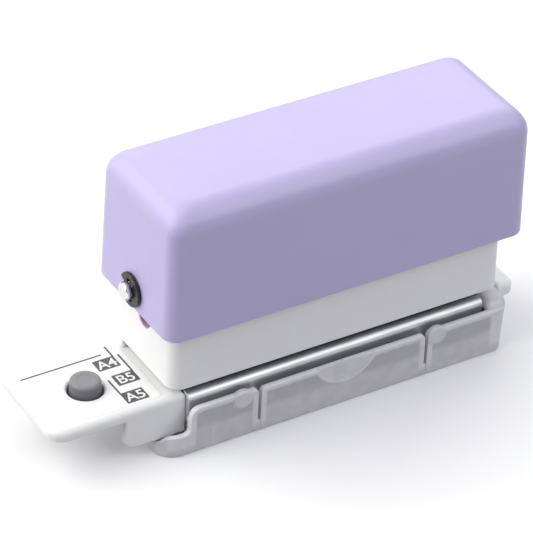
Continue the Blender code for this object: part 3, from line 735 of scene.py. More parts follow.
SCREW_PLACES = [((low.x + high.x) / 2, (low.y + high.y) / 2) for low, high in SCREW_BOXES]
cutters = [extruded("slot", slot_outline, -PAST_ENDS, PAST_ENDS, "YZX")]
cutters += bores(FLOOR_HOLE, PUNCH_PLACES, 11 * MM, 14.5 * MM)
cutters += bores(SCREW_PILOT, SCREW_PLACES, 9 * MM, 13.2 * MM, 24)
fuse(housing, cutters, "DIFFERENCE")
white, white_shader = moulded_plastic("white_abs", WHITE, WHITE_DEEP, 0.40, 4600.0, 0.006 * MM)
white_shader.inputs["Subsurface Weight"].default_value = 0.2
white_shader.inputs["Subsurface Radius"].default_value = (1.2, 1.1, 1.0)
white_shader.inputs["Subsurface Scale"].default_value = 1.0 * MM
finish_piece(housing, white, "frame", ["punch_housing"])

liner_pink, _ = moulded_plastic("slot_liner_pink", PINK, PINK_DEEP, 0.42, 4200.0, 0.006 * MM)
slot_middle = np.array([0.0, (slot_high + slot_low) / 2])
liner_outer = slot_middle + (slot_outline - slot_middle) * (1 + 0.02 * MM / SLOT_RADIUS)
liner_inner = slot_middle + (slot_outline - slot_middle) * [
    1 - LINER_THICKNESS / SLOT_RADIUS,
    1 - LINER_THICKNESS / (SLOT_RADIUS + (slot_high - slot_low) / 2),
]
for side, sign in (("left", -1), ("right", 1)):
    liner_x = sorted((sign * (high.x - 0.25 * MM), sign * (high.x - HOUSING_WALL)))
    liner = extruded(f"slot_liner_{side}", liner_outer, *liner_x, "YZX")
    fuse(liner, [extruded("bore", liner_inner, -PAST_ENDS, PAST_ENDS, "YZX")], "DIFFERENCE")
    finish_piece(liner, liner_pink, "frame")


# ---------------------------------------------------------------- guide plate and die channel
# Plated steel.  The guide plate is a punched flat on the housing's floor; the die channel is
# a folded strip, bent down along the front, with six sharp holes that shear the paper.

DIE_THICKNESS = 1.2 * MM
DIE_FLANGE = 1.0 * MM
DIE_BEND = 1.35 * MM
DIE_HOLE = 2.95 * MM
DIE_LONGER = (0.3 * MM, 0.35 * MM)
SCREW_CLEARANCE = 0.9 * MM
PLATED = (0.66, 0.66, 0.68)
# Painted shade: the near-black colour of the paper slot's shadow on the strip.
SLOT_SHADE_COLOUR = (0.03, 0.03, 0.032)
SLOT_SHADE_START = 1.5 * MM
SLOT_SHADE_WIDTH = 0.35 * MM


def brushed_steel(name, colour, roughness, slot_shade_from=None):
    """Rolled and plated strip: long fine scratches, patchy gloss and slightly cloudy colour.

    Behind a given y the strip darkens quickly: painted shade of the paper slot under the housing.
    """
    material, shader, where = new_finish(name, colour, roughness, 1.0)
    link = material.node_tree.links.new
    lines = mottle(material, where, 5200.0, 3.0, (0.012, 1.0, 1.0))
    link(spread(material, lines, roughness - 0.07, roughness + 0.09), shader.inputs["Roughness"])
    clouds = spread(material, mottle(material, where, 160.0, 4.0), 0.0, 1.0)
    darker = tuple(0.88 * channel for channel in colour)
    plated = blend_colours(material, clouds, colour, darker)
    # Painted shade of the paper slot, blended in by y.
    if slot_shade_from is not None:
        apart = material.node_tree.nodes.new("ShaderNodeSeparateXYZ")
        link(where, apart.inputs["Vector"])
        slot_shade_ramp = material.node_tree.nodes.new("ShaderNodeMapRange")
        link(apart.outputs["Y"], slot_shade_ramp.inputs["Value"])
        slot_shade_ramp.inputs["From Min"].default_value = slot_shade_from
        slot_shade_ramp.inputs["From Max"].default_value = slot_shade_from + SLOT_SHADE_WIDTH
        slot_shaded = blend_colours(material, slot_shade_ramp.outputs["Result"], colour, SLOT_SHADE_COLOUR)
        link(plated, slot_shaded.node.inputs["A"])
        plated = slot_shaded
    link(plated, shader.inputs["Base Color"])
    relief(material, shader, lines, 0.0004 * MM)
    return material


# The painted slot shade starts this far behind the strip's front edge.
under_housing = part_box("die_channel")[0].y + SLOT_SHADE_START
strip_steel = brushed_steel("plated_strip", PLATED, 0.43, slot_shade_from=under_housing)
sheet_steel = brushed_steel("plated_sheet", PLATED, 0.43)
low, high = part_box("die_channel")
channel_outline = eased(
    [
        (high.y, high.z),
        (low.y, high.z),
        (low.y, low.z),
        (low.y + DIE_FLANGE, low.z),
        (low.y + DIE_FLANGE, high.z - DIE_THICKNESS),
        (high.y, high.z - DIE_THICKNESS),
    ],
    [0.15 * MM, DIE_BEND, 0.2 * MM, 0.2 * MM, 0.3 * MM, 0.15 * MM],
    closed=True,
    steps=12,
)
strip_ends = (low.x - DIE_LONGER[0], high.x + DIE_LONGER[1])
channel = extruded("die_strip", channel_outline, *strip_ends, "YZX", 0.12 * MM)
cutters = bores(DIE_HOLE, PUNCH_PLACES, 8 * MM, 11 * MM)
cutters += bores(SCREW_CLEARANCE, SCREW_PLACES, 8 * MM, 11 * MM, 24)
fuse(channel, cutters, "DIFFERENCE")
finish_piece(channel, strip_steel, "frame", ["die_channel"])

low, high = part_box("guide_plate")
guide = slab("guide_strip", low, high, 1.0 * MM, 0.1 * MM, 0.1 * MM)
fuse(guide, bores(DIE_HOLE, PUNCH_PLACES, low.z - MM, high.z + MM), "DIFFERENCE")
finish_piece(guide, sheet_steel, "frame", ["guide_plate"])


# ---------------------------------------------------------------- gauge base
# One white ABS moulding: the gauge plate on the left with a thin skirt below its front, the
# block beside the tray, the spine along the rear and the lug at the far end.

PLATE_CORNER = 3.0 * MM
PLATE_EDGE = 1.2 * MM
PLATE_THICKNESS = 2.2 * MM
BLOCK_LEFT_X = -35.2 * MM
BLOCK_RIGHT_X = -28.63 * MM
SKIRT_LEFT_X = -39.95 * MM
SKIRT_THICKNESS = 1.3 * MM
SPINE_FRONT_Y = 6.8 * MM
LUG_X = (32.45 * MM, 33.45 * MM)
LUG_Y = -7.3 * MM
LUG_Z = (7.7 * MM, 10.1 * MM)
PIN_HOLE = 3.1 * MM
PIN_HOLE_CHAMFER = 0.25 * MM
COUNTERBORE = 1.5 * MM
COUNTERBORE_TOP_Z = 5.9 * MM

low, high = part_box("gauge_base")
plate_low_z = high.z - PLATE_THICKNESS
plate = slab(
    "gauge_plate_moulding",
    (low.x, low.y, plate_low_z),
    (BLOCK_RIGHT_X, high.y, high.z),
    np.array([0.3, PLATE_CORNER / MM, PLATE_CORNER / MM, 0.5]) * MM,
    0.35 * MM,
    PLATE_EDGE,
)
skirt = slab(
    "skirt",
    (SKIRT_LEFT_X, low.y, low.z),
    (BLOCK_RIGHT_X, low.y + SKIRT_THICKNESS, high.z - PLATE_EDGE),
    np.array([0.3, 0.3, 2.0, 0.5]) * MM,
    0.45 * MM,
    0.2 * MM,
    "XZY",
)
block = slab(
    "block",
    (BLOCK_LEFT_X, low.y + SKIRT_THICKNESS / 2, low.z),
    (BLOCK_RIGHT_X, high.y - MM, high.z - PLATE_EDGE),
    0.3 * MM,
    0.3 * MM,
    0.2 * MM,
)
spine = slab(
    "spine",
    (BLOCK_LEFT_X, SPINE_FRONT_Y, low.z),
    (LUG_X[0], high.y, high.z - PLATE_EDGE),
    np.array([2.0, 0.3, 0.3, 0.3]) * MM,
    0.4 * MM,
    0.2 * MM,
)
spine_top = slab(
    "spine_top",
    (BLOCK_LEFT_X, SPINE_FRONT_Y, LUG_Z[0]),
    (high.x, high.y, high.z),
    np.array([PLATE_CORNER / MM, 0.3, 0.3, 0.3]) * MM,
    0.35 * MM,
    0.8 * MM,
)
lug = slab(
    "lug",
    (LUG_X[1], LUG_Y, LUG_Z[0]),
    (high.x, high.y - MM, LUG_Z[1]),
    np.array([1.0, 0.3, 0.3, 1.6]) * MM,
    0.35 * MM,
    0.7 * MM,
)
fuse(plate, [skirt, block, spine, spine_top, lug])
die_low, die_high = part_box("die_channel")
gap = 0.15 * MM
rebate_outline = np.array(
    [
        (die_low.x - DIE_LONGER[0] - gap, 0.0),
        (die_high.x + DIE_LONGER[1] + gap, 0.0),
        (die_high.x + DIE_LONGER[1] + gap, die_high.y + gap),
        (die_low.x - DIE_LONGER[0] - gap, die_high.y + gap),
    ]
)
leaf_low, leaf_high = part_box("pin_leaf_spring")
slot_outline = np.array(
    [
        (BLOCK_LEFT_X - MM, leaf_low.z - gap),
        (leaf_high.x + gap, leaf_low.z - gap),
        (leaf_high.x + gap, leaf_low.z + 0.55 * MM),
        (BLOCK_LEFT_X - MM, leaf_low.z + 0.55 * MM),
    ]
)
pin_low, pin_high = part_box("locating_pin")
pin_x = (pin_low.x + pin_high.x) / 2
pin_hole_profile = eased(
    [
        (0.0, high.z + MM),
        (PIN_HOLE + PIN_HOLE_CHAMFER, high.z + MM),
        (PIN_HOLE + PIN_HOLE_CHAMFER, high.z),
        (PIN_HOLE, high.z - PIN_HOLE_CHAMFER),
        (PIN_HOLE, plate_low_z - MM),
        (0.0, plate_low_z - MM),
    ],
    [0, 0, 0.12 * MM, 0.12 * MM, 0, 0],
)
cutters = [
    extruded("rebate", rebate_outline, high.z - DIE_THICKNESS - gap, high.z + MM),
    extruded("leaf_slot", slot_outline, -2.45 * MM, 2.45 * MM, "XZY"),
    turned("pin_hole", pin_hole_profile, (pin_x, 0.0, 0.0)),
]
for place in SCREW_PLACES:
    cutters += bores(SCREW_CLEARANCE, [place], 0.0, 11 * MM, 24)
    cutters += bores(COUNTERBORE, [place], 0.0, COUNTERBORE_TOP_Z, 40)
fuse(plate, cutters, "DIFFERENCE")
finish_piece(plate, white, "frame", ["gauge_base"])


# ---------------------------------------------------------------- gauge label
# A thin matt film is stuck on the gauge plate.  It carries three paper-size marks, each a
# line and a dark tab with light letters, and a line where the paper's rear edge comes.

FILM_X = (-51.1 * MM, -32.45 * MM)
FILM_Y = (-7.35 * MM, 9.6 * MM)
FILM_THICKNESS = 0.05 * MM
INK_THICKNESS = 0.012 * MM
LINE_WIDTH = 0.34 * MM
MARKS = {
    # label: (tab left x, tab right x, tab rear y, tab front y, line x, line's rear y)
    "A4": (-38.5, -34.5, 5.71, 2.83, -34.6, 8.5),
    "B5": (-37.5, -33.5, 0.96, -2.00, -33.6, 5.7),
    "A5": (-38.5, -34.5, -3.83, -6.79, -38.4, 0.2),
}
PAPER_EDGE_LINE = (-51.05 * MM, -36.1 * MM, 6.8 * MM)
LETTER_HEIGHT = 2.15 * MM
FILM = (0.875, 0.875, 0.87)
FILM_DEEP = (0.865, 0.865, 0.86)
INK_DARKEST = (0.060, 0.060, 0.064)
INK_DARK = (0.100, 0.100, 0.105)
INK_LIGHTEST = (0.88, 0.88, 0.88)
INK_LIGHT = (0.80, 0.80, 0.80)

plate_z = high.z
film = slab(
    "gauge_film",
    (FILM_X[0], FILM_Y[0], plate_z - 0.02 * MM),
    (FILM_X[1], FILM_Y[1], plate_z + FILM_THICKNESS),
    0.8 * MM,
    0.0,
    0.02 * MM,
)
film_hole = bores(PIN_HOLE + 0.45 * MM, [(pin_x, 0.0)], plate_z - MM, plate_z + MM)
fuse(film, film_hole, "DIFFERENCE")
film_white, _ = moulded_plastic("matt_film", FILM, FILM_DEEP, 0.46, 6500.0, 0.003 * MM)
finish_piece(film, film_white, "frame")

ink_low = plate_z + FILM_THICKNESS - 0.005 * MM
ink_high = plate_z + FILM_THICKNESS + INK_THICKNESS
line_left, line_right, line_y = PAPER_EDGE_LINE
line_low = (line_left, line_y - LINE_WIDTH / 2, ink_low)
line_high = (line_right, line_y + LINE_WIDTH / 2, ink_high)
ink = slab("gauge_lines", line_low, line_high, 0.1 * MM, 0.0, 0.0)
strips = []
for left, right, rear, front, line_x, line_rear in MARKS.values():
    tab_low = (left * MM, front * MM, ink_low)
    tab_high = (right * MM, rear * MM, ink_high)
    strips.append(slab("tab", tab_low, tab_high, 0.12 * MM, 0.0, 0.0))
    line_low = (line_x * MM - LINE_WIDTH / 2, (rear - 0.2) * MM, ink_low)
    line_high = (line_x * MM + LINE_WIDTH / 2, line_rear * MM, ink_high)
    strips.append(slab("line", line_low, line_high, 0.1 * MM, 0.0, 0.0))
fuse(ink, strips)
dark_ink, dark_shader, dark_where = new_finish("dark_ink", INK_DARKEST, 0.5)
two_tone(dark_ink, dark_shader, dark_where, 2600.0, 4.0, INK_DARKEST, INK_DARK)
finish_piece(ink, dark_ink, "frame")

light_ink, light_shader, light_where = new_finish("light_ink", INK_LIGHTEST, 0.5)
two_tone(light_ink, light_shader, light_where, 3000.0, 3.0, INK_LIGHTEST, INK_LIGHT)
for label, (left, right, rear, front, _, _) in MARKS.items():
    text = bpy.data.curves.new("letters", "FONT")
    text.body = label
    text.extrude = 1.0
    text.offset = 0.012
    text_object = bpy.data.objects.new("letters", text)
    bpy.context.scene.collection.objects.link(text_object)
    graph = bpy.context.evaluated_depsgraph_get()
    letter_mesh = bpy.data.meshes.new_from_object(text_object.evaluated_get(graph))
    bpy.data.objects.remove(text_object, do_unlink=True)
    corner_points = np.empty(len(letter_mesh.vertices) * 3, np.float32)
    letter_mesh.vertices.foreach_get("co", corner_points)
    corner_points = corner_points.reshape(-1, 3)
    span = corner_points.max(0) - corner_points.min(0)
    centred = corner_points - (corner_points.max(0) + corner_points.min(0)) / 2
    centred[:, :2] *= LETTER_HEIGHT / span[1]
    centred[:, 2] *= (INK_THICKNESS + 0.004 * MM) / span[2]
    level = ink_high + INK_THICKNESS / 2 - 0.002 * MM
    middle = ((left + right) / 2 * MM, (rear + front) / 2 * MM, level)
    letter_mesh.vertices.foreach_set("co", (centred + np.array(middle)).astype(np.float32).ravel())
    settle(letter_mesh)
    letters = bpy.data.objects.new(f"paper_size_{label}", letter_mesh)
    bpy.context.scene.collection.objects.link(letters)
    finish_piece(letters, light_ink, "frame")


# ---------------------------------------------------------------- locating pin and its spring
# A grey moulded button that a paper hole drops over, its side painted darker than its crown as
# painted shade.
# A thin steel leaf, held in the block, keeps it up, and it sinks flush under flat paper.

PIN_TAPER = 0.12 * MM
PIN_EDGE = 0.5 * MM
PIN_DISH = 0.09 * MM
COLLAR_THICKNESS = 0.8 * MM
LEAF_THICKNESS = 0.4 * MM
PIN_SHANK = 2.7 * MM
GREY = (0.255, 0.255, 0.268)
GREY_DEEP = (0.225, 0.225, 0.238)
# Painted shade: the darker grey of the button's side, where less light falls.
GREY_PAINTED_SIDE_SHADE = (0.130, 0.130, 0.138)

collar_radius = (pin_high.x - pin_low.x) / 2
pin_profile = eased(
    [
        (0.0, pin_high.z - PIN_DISH),
        (PIN_SHANK - 1.5 * MM, pin_high.z - PIN_DISH),
        (PIN_SHANK - 1.1 * MM, pin_high.z),
        (PIN_SHANK - PIN_TAPER, pin_high.z),
        (PIN_SHANK, plate_z),
        (PIN_SHANK, pin_low.z + COLLAR_THICKNESS),
        (collar_radius, pin_low.z + COLLAR_THICKNESS),
        (collar_radius, pin_low.z),
        (0.0, pin_low.z),
    ],
    [0, 0.3 * MM, 0.3 * MM, PIN_EDGE, 0.3 * MM, 0.15 * MM, 0.15 * MM, 0.15 * MM, 0],
)
button = turned("locating_button", pin_profile, (pin_x, 0.0, 0.0), "Z", 96)
grey_plastic, grey_shader = moulded_plastic(
    "grey_acetal", GREY, GREY_DEEP, 0.46, 3600.0, 0.012 * MM
)
grey_tree = grey_plastic.node_tree
cloudy = grey_shader.inputs["Base Color"].links[0].from_socket
heights = grey_tree.nodes.new("ShaderNodeSeparateXYZ")
grey_where = next(node for node in grey_tree.nodes if node.type == "TEX_COORD").outputs["Object"]
grey_tree.links.new(grey_where, heights.inputs["Vector"])
# Painted light and shade: by height, the crown keeps the plain grey and the side takes the painted
# shade.
lit_crown_mask = grey_tree.nodes.new("ShaderNodeMapRange")
lit_crown_mask.inputs["From Min"].default_value = pin_high.z - 0.75 * MM
lit_crown_mask.inputs["From Max"].default_value = pin_high.z - 0.1 * MM
grey_tree.links.new(heights.outputs["Z"], lit_crown_mask.inputs["Value"])
painted_side_shade = blend_colours(grey_plastic, lit_crown_mask.outputs["Result"], GREY_PAINTED_SIDE_SHADE, GREY)
grey_tree.links.new(cloudy, painted_side_shade.node.inputs["B"])
grey_tree.links.new(painted_side_shade, grey_shader.inputs["Base Color"])
finish_piece(button, grey_plastic, "pin", ["locating_pin"])

rise = leaf_high.z - LEAF_THICKNESS
leaf_line = eased(
    [
        (leaf_high.x, leaf_low.z),
        (BLOCK_LEFT_X - 0.6 * MM, leaf_low.z),
        (pin_x + 1.5 * MM, rise),
        (leaf_low.x, rise),
        (leaf_low.x, leaf_high.z),
        (pin_x + 1.5 * MM, leaf_high.z),
        (BLOCK_LEFT_X - 0.6 * MM, leaf_low.z + LEAF_THICKNESS),
        (leaf_high.x, leaf_low.z + LEAF_THICKNESS),
    ],
    [0, 1.2 * MM, 1.0 * MM, 0, 0, 1.0 * MM, 1.2 * MM, 0],
    closed=True,
)
leaf = extruded("leaf_strip", leaf_line, leaf_low.y, leaf_high.y, "XZY", 0.05 * MM)
finish_piece(leaf, sheet_steel, "frame", ["pin_leaf_spring"])
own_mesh(leaf)


# ---------------------------------------------------------------- clamp screws
# Four small blackened pan-head screws in counterbores of the spine hold base, die channel
# and housing together.  Each has a rolled thread and a cross recess.

THREAD_PITCH = 0.5 * MM
THREAD_DEPTH = 0.12 * MM
RECESS_WIDTH = 0.34 * MM
RECESS_LENGTH = 1.3 * MM
RECESS_DEPTH = 0.5 * MM


def clamp_screw(name, node):
    """Turned screw whose shank swells and shrinks along a helix.

    The thread is a triangle wave of (height / pitch - angle / full turn), added to the shank.
    """
    low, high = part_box(node)
    head_radius = (high.x - low.x) / 2
    shank = 0.7 * MM
    head_edge = [(head_radius * 0.95, low.z), (head_radius, low.z + 0.95 * MM)]
    head = eased([(0.0, low.z), *head_edge, (shank, low.z + MM)], [0, 0.3 * MM, 0.12 * MM, 0])
    shank_z = np.linspace(low.z + 1.05 * MM, high.z - 0.5 * MM, 90)
    shank_rows = np.column_stack([np.full_like(shank_z, shank), shank_z])
    rows = np.concatenate([head, shank_rows, [(shank / 3, high.z), (0.0, high.z)]])
    angle = np.linspace(0.0, 2 * math.pi, 36, endpoint=False)[None, :]
    radius = np.repeat(rows[:, :1], angle.size, axis=1)
    threaded = slice(len(head), len(head) + len(shank_rows))
    phase = (rows[threaded, 1:] / THREAD_PITCH - angle / (2 * math.pi)) % 1.0
    radius[threaded] -= THREAD_DEPTH * np.abs(2 * phase - 1)
    centre = ((low.x + high.x) / 2, (low.y + high.y) / 2)
    across = centre[0] + radius * np.cos(angle)
    along = centre[1] + radius * np.sin(angle)
    made = surface(name, np.stack([across, along, rows[:, 1:] + 0 * angle], axis=-1))
    for reach in ((RECESS_LENGTH, RECESS_WIDTH), (RECESS_WIDTH, RECESS_LENGTH)):
        bar_low = (centre[0] - reach[0] / 2, centre[1] - reach[1] / 2, low.z - 0.2 * MM)
        bar_high = (centre[0] + reach[0] / 2, centre[1] + reach[1] / 2, low.z + RECESS_DEPTH)
        fuse(made, [slab("recess", bar_low, bar_high, 0.05 * MM, 0.0, 0.05 * MM)], "DIFFERENCE")
    return made


for node in SCREW_NODES:
    finish_piece(clamp_screw(f"pan_{node}", node), blackened, "frame", [node])


# ---------------------------------------------------------------- chip tray
# A tub of frosted polypropylene.  Its front is cut into three springy panels whose discs snap
# over the steel flange; each panel has a thick border, and the middle one a thumb scoop.

TRAY_LONGER = (0.7 * MM, 0.35 * MM)
TRAY_FRONT_Y = -11.45 * MM
TRAY_REAR_Y = 11.3 * MM
TRAY_WALL = 1.0 * MM
TRAY_FLOOR = 1.3 * MM
FLOOR_ROUND = 0.8 * MM
RIM_ROUND = 0.25 * MM
DISC_STANDS = 0.24 * MM
BORDER_STANDS = 0.10 * MM
SCOOP_DEPTH = 0.3 * MM
TRAY_CORNERS = (2.0 * MM, 2.8 * MM, 3.4 * MM, 2.9 * MM)
TRAY_EDGE = 0.4 * MM
TRAY_DRAFT = 0.7 * MM
SHELF_Z = 2.1 * MM
FRONT_SHELF_Z = 4.15 * MM
PANEL_LEFT_X = -29.3 * MM
WALL_REAR_Y = 6.5 * MM
RIM_Z = (9.0 * MM, 8.72 * MM, 8.92 * MM)
RIM_RISE = 0.95 * MM
SLIT_X = 16.3 * MM
SLIT_WIDTH = 0.6 * MM
SLIT_LOW_Z = 2.3 * MM
PANEL_ROUND = (1.7 * MM, 0.9 * MM)
SWEEP_RADIUS = 1.1 * MM
SNAP_X = (-19.5 * MM, 18.4 * MM)
SNAP_Z = 7.9 * MM
SNAP_RADIUS = 2.0 * MM
HUMP_DROP = 0.5 * MM
SCOOP_CENTRE = (0.3 * MM, 10.8 * MM)
SCOOP_RADIUS = 6.3 * MM
BORDER = 1.0 * MM
FLANGE_END_Z = 4.8 * MM
FROST_DARK = (0.60, 0.60, 0.62)
FROST_PALE = (0.93, 0.93, 0.95)

low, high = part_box("chip_tray")
tray_low = (low.x - TRAY_LONGER[0], TRAY_FRONT_Y)
tray_high = (high.x + TRAY_LONGER[1], TRAY_REAR_Y)


def corner_drop(distance, radius):
    """How far a quarter circle strays from the straight edge that it leaves.

    It is radius - root(radius squared - (radius - distance) squared) within one radius of the
    corner: a drop for a round corner, a rise for a hollow one.
    """
    inside = np.clip(radius - distance, 0.0, radius)
    return radius - np.sqrt(radius**2 - inside**2)


def slit_distance(x):
    """Distance along the front from the nearest slit's edge, negative inside the slit."""
    return np.minimum(np.abs(x + SLIT_X), np.abs(x - SLIT_X)) - SLIT_WIDTH / 2


def rim_height(x, y):
    """Height of the tray's wall along its outline.

    The front is a shelf that sweeps up into three panels with round corners and a slit between
    each two, the right side is one wall, and the left and rear are low.
    """
    front = np.where(x < -SLIT_X, RIM_Z[0], np.where(x < SLIT_X, RIM_Z[1], RIM_Z[2]))
    from_slit = slit_distance(x)
    front = front - corner_drop(from_slit, PANEL_ROUND[1])
    front = front - corner_drop(x - PANEL_LEFT_X, PANEL_ROUND[0])
    for disc_x in SNAP_X:
        arch = np.sqrt(np.maximum(SNAP_RADIUS**2 - (x - disc_x) ** 2, 0.0)) + SNAP_Z - HUMP_DROP
        front = np.where(from_slit > 0.1 * MM, np.maximum(front, arch), front)
    front = np.where(from_slit < 0, SLIT_LOW_Z, front)
    forward = smooth_step(-y, -TRAY_FRONT_Y - 3.2 * MM, -TRAY_FRONT_Y - 0.4 * MM)
    sweep = SHELF_Z + (FRONT_SHELF_Z - SHELF_Z) * forward
    sweep = sweep + corner_drop(PANEL_LEFT_X - x, SWEEP_RADIUS)
    front = np.where(x < PANEL_LEFT_X, sweep, front)
    right = RIM_Z[2] + RIM_RISE * smooth_step(y, -9.6 * MM, -5.5 * MM)
    right = np.where(y < WALL_REAR_Y, right - corner_drop(WALL_REAR_Y - y, 1.5 * MM), SHELF_Z)
    on_right = (x > 0) & (y > tray_low[1] + 0.5 * MM)
    low_part = (y > 0) & (x < tray_high[0] - TRAY_CORNERS[0])
    return np.where(low_part, SHELF_Z, np.where(on_right, right, front))


def front_relief(x, z, top):
    """How far the front face stands out: border bands, snap discs, and the scoop's hollow."""
    from_slit = slit_distance(x)
    from_left = x - PANEL_LEFT_X
    below = np.minimum(np.minimum(from_slit, from_left), top - z)
    stands = BORDER_STANDS * (1 - smooth_step(below, BORDER - 0.12 * MM, BORDER + 0.12 * MM))
    for disc_x in SNAP_X:
        away = np.hypot(x - disc_x, z - SNAP_Z)
        disc = 1 - smooth_step(away, SNAP_RADIUS - 0.25 * MM, SNAP_RADIUS)
        stands = np.maximum(stands, DISC_STANDS * disc)
    away = np.hypot(x - SCOOP_CENTRE[0], z - SCOOP_CENTRE[1])
    hollow = 1 - smooth_step(away, 2.0 * MM, SCOOP_RADIUS - 0.3 * MM)
    lip = smooth_step(away, SCOOP_RADIUS - 0.5 * MM, SCOOP_RADIUS - 0.2 * MM)
    lip = lip * (1 - smooth_step(away, SCOOP_RADIUS, SCOOP_RADIUS + 0.3 * MM))
    inside_scoop = away < SCOOP_RADIUS + 0.3 * MM
    return np.where(inside_scoop, 0.12 * MM * lip - SCOOP_DEPTH * hollow, stands)


def tray_outline():
    """Outline of the tub with closely set points along the front, closest beside the slits."""
    side, edge, step = np.meshgrid([-1, 1], [-1, 1], [-0.02 * MM, 0.02 * MM], indexing="ij")
    slit_edges = (side * SLIT_X + edge * (SLIT_WIDTH / 2 + step)).ravel()
    straight = np.linspace(tray_low[0] + TRAY_CORNERS[2], tray_high[0] - TRAY_CORNERS[3], 260)
    near_left = PANEL_LEFT_X + np.array([-0.02, 0.02]) * MM
    front_x = np.unique(np.concatenate([straight, slit_edges, near_left]))
    angle = np.linspace(0.0, math.pi / 2, CORNER_STEPS + 1)
    corners = []
    for index, (side_x, side_y) in enumerate(((1, 1), (-1, 1), (-1, -1), (1, -1))):
        corner = TRAY_CORNERS[index]
        middle_x = (tray_high[0] if side_x > 0 else tray_low[0]) - side_x * corner
        middle_y = (tray_high[1] if side_y > 0 else tray_low[1]) - side_y * corner
        turn = angle + index * math.pi / 2
        normal = np.column_stack([np.cos(turn), np.sin(turn)])
        corners.append((np.array([middle_x, middle_y]) + corner * normal, normal))
    front = np.column_stack([front_x[1:-1], np.full(len(front_x) - 2, tray_low[1])])
    front_normal = np.tile([0.0, -1.0], (len(front), 1))
    side_y = np.array([-8.0, -4.0, 0.0, 3.0, 5.0, 5.5, 6.0, 6.3, 6.48, 6.52, 7.5]) * MM
    right = np.column_stack([np.full(len(side_y), tray_high[0]), side_y])
    right_normal = np.tile([1.0, 0.0], (len(right), 1))
    parts = [*corners[:3], (front, front_normal), corners[3], (right, right_normal)]
    return [np.concatenate(part) for part in zip(*parts)]


def tray_tub(name):
    """Tub as one skin: under the floor, round the foot, up the wall, over its rim and back down.

    Every row of the profile moves in from the outline along its normal, and the wall's rows are
    shares of the height between the foot and the rim at that place.
    """
    outline, normal = tray_outline()
    x, y = outline.T
    top = rim_height(x, y)
    edge_in, edge_up = quarter_round(TRAY_EDGE)
    lean = TRAY_DRAFT * np.where(normal[:, 0] > 0, normal[:, 0], 0.0)
    under = []
    for share in (0.0, 0.5, 0.8):
        under.append(np.column_stack([(outline - normal * TRAY_EDGE) * share, 0 * x]))
    foot = []
    for inset, up in zip(edge_in, edge_up):
        foot.append(np.column_stack([outline - normal * inset, np.full(len(x), up)]))
    shares = np.linspace(0.0, 1.0, 30)[1:]
    wall = []
    for share in shares:
        level = TRAY_EDGE + (top - RIM_ROUND - TRAY_EDGE) * share
        stands = front_relief(x, level, top) * np.clip(-normal[:, 1], 0.0, 1.0) ** 4
        stands = np.where(top > SHELF_Z + 2 * MM, stands, 0.0)
        wall.append(np.column_stack([outline + normal * stands[:, None], level]))
    stands = wall[-1][:, :2] - outline
    rim = []
    for angle in np.linspace(0.0, math.pi, 9)[1:]:
        inward = TRAY_WALL / 2 * (1 - math.cos(angle))
        level = top - RIM_ROUND + RIM_ROUND * math.sin(angle)
        edge = outline - normal * inward + stands * (1 - inward / TRAY_WALL)
        rim.append(np.column_stack([edge, level]))
    inner = []
    for share in shares[::-1][1:]:
        clear = np.maximum(top - RIM_ROUND - TRAY_FLOOR - FLOOR_ROUND, 0.0)
        level = TRAY_FLOOR + FLOOR_ROUND + clear * share
        inner.append(np.column_stack([outline - normal * TRAY_WALL, level]))
    floor_in, floor_up = quarter_round(FLOOR_ROUND, 4)
    for inset, up in zip(floor_in[::-1], floor_up[::-1]):
        level = np.minimum(TRAY_FLOOR + up, top - RIM_ROUND)
        inner.append(np.column_stack([outline - normal * (TRAY_WALL + inset), level]))
    for share in (0.8, 0.5, 0.0):
        flat = (outline - normal * (TRAY_WALL + FLOOR_ROUND)) * share
        inner.append(np.column_stack([flat, np.full(len(x), TRAY_FLOOR)]))
    points = np.stack(under + foot + wall + rim + inner)
    slope = 1 - np.clip(points[..., 2] / (9.0 * MM), 0.0, 1.0)
    points[..., 0] -= lean[None, :] * slope
    return surface(name, points)


tray = tray_tub("tray_tub")
steel_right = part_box("die_channel")[1].x + DIE_LONGER[1] + 0.12 * MM
inner_right = tray_high[0] - TRAY_DRAFT - TRAY_WALL
rear_wall = slab(
    "rear_wall",
    (-28.3 * MM, WALL_REAR_Y - TRAY_WALL, 0.6 * MM),
    (tray_high[0] - TRAY_WALL, WALL_REAR_Y, 8.9 * MM),
    0.2 * MM,
    0.1 * MM,
    0.25 * MM,
)
left_wall = slab(
    "left_wall",
    (-28.3 * MM, tray_low[1] + 0.6 * MM, 0.6 * MM),
    (-27.3 * MM, WALL_REAR_Y - 0.2 * MM, 4.2 * MM),
    0.2 * MM,
    0.1 * MM,
    0.25 * MM,
)
end_block = slab(
    "end_block",
    (steel_right, -10.4 * MM, 0.8 * MM),
    (inner_right + 0.4 * MM, 5.7 * MM, 9.0 * MM),
    0.3 * MM,
    0.1 * MM,
    0.3 * MM,
)
end_cap = slab(
    "end_cap",
    (steel_right, tray_low[1] + 0.45 * MM, 7.4 * MM),
    (tray_high[0] - 0.25 * MM, 1.5 * MM, 10.3 * MM),
    np.array([0.3, 0.3, 1.1, 2.8]) * MM,
    0.1 * MM,
    1.2 * MM,
)
foot_filler = slab(
    "foot_filler",
    (tray_low[0] + 1.6 * MM, tray_low[1] + 0.6 * MM, 0.8 * MM),
    (PANEL_LEFT_X + MM, -9.3 * MM, 2.9 * MM),
    np.array([0.3, 0.3, 1.6, 0.3]) * MM,
    0.1 * MM,
    0.3 * MM,
)
panel_filler = slab(
    "panel_filler",
    (PANEL_LEFT_X + 0.1 * MM, tray_low[1] + 0.6 * MM, 0.8 * MM),
    (PANEL_LEFT_X + 1.3 * MM, -9.7 * MM, 6.7 * MM),
    0.3 * MM,
    0.1 * MM,
    0.3 * MM,
)
fuse(tray, [rear_wall, left_wall, end_block, end_cap, foot_filler, panel_filler])


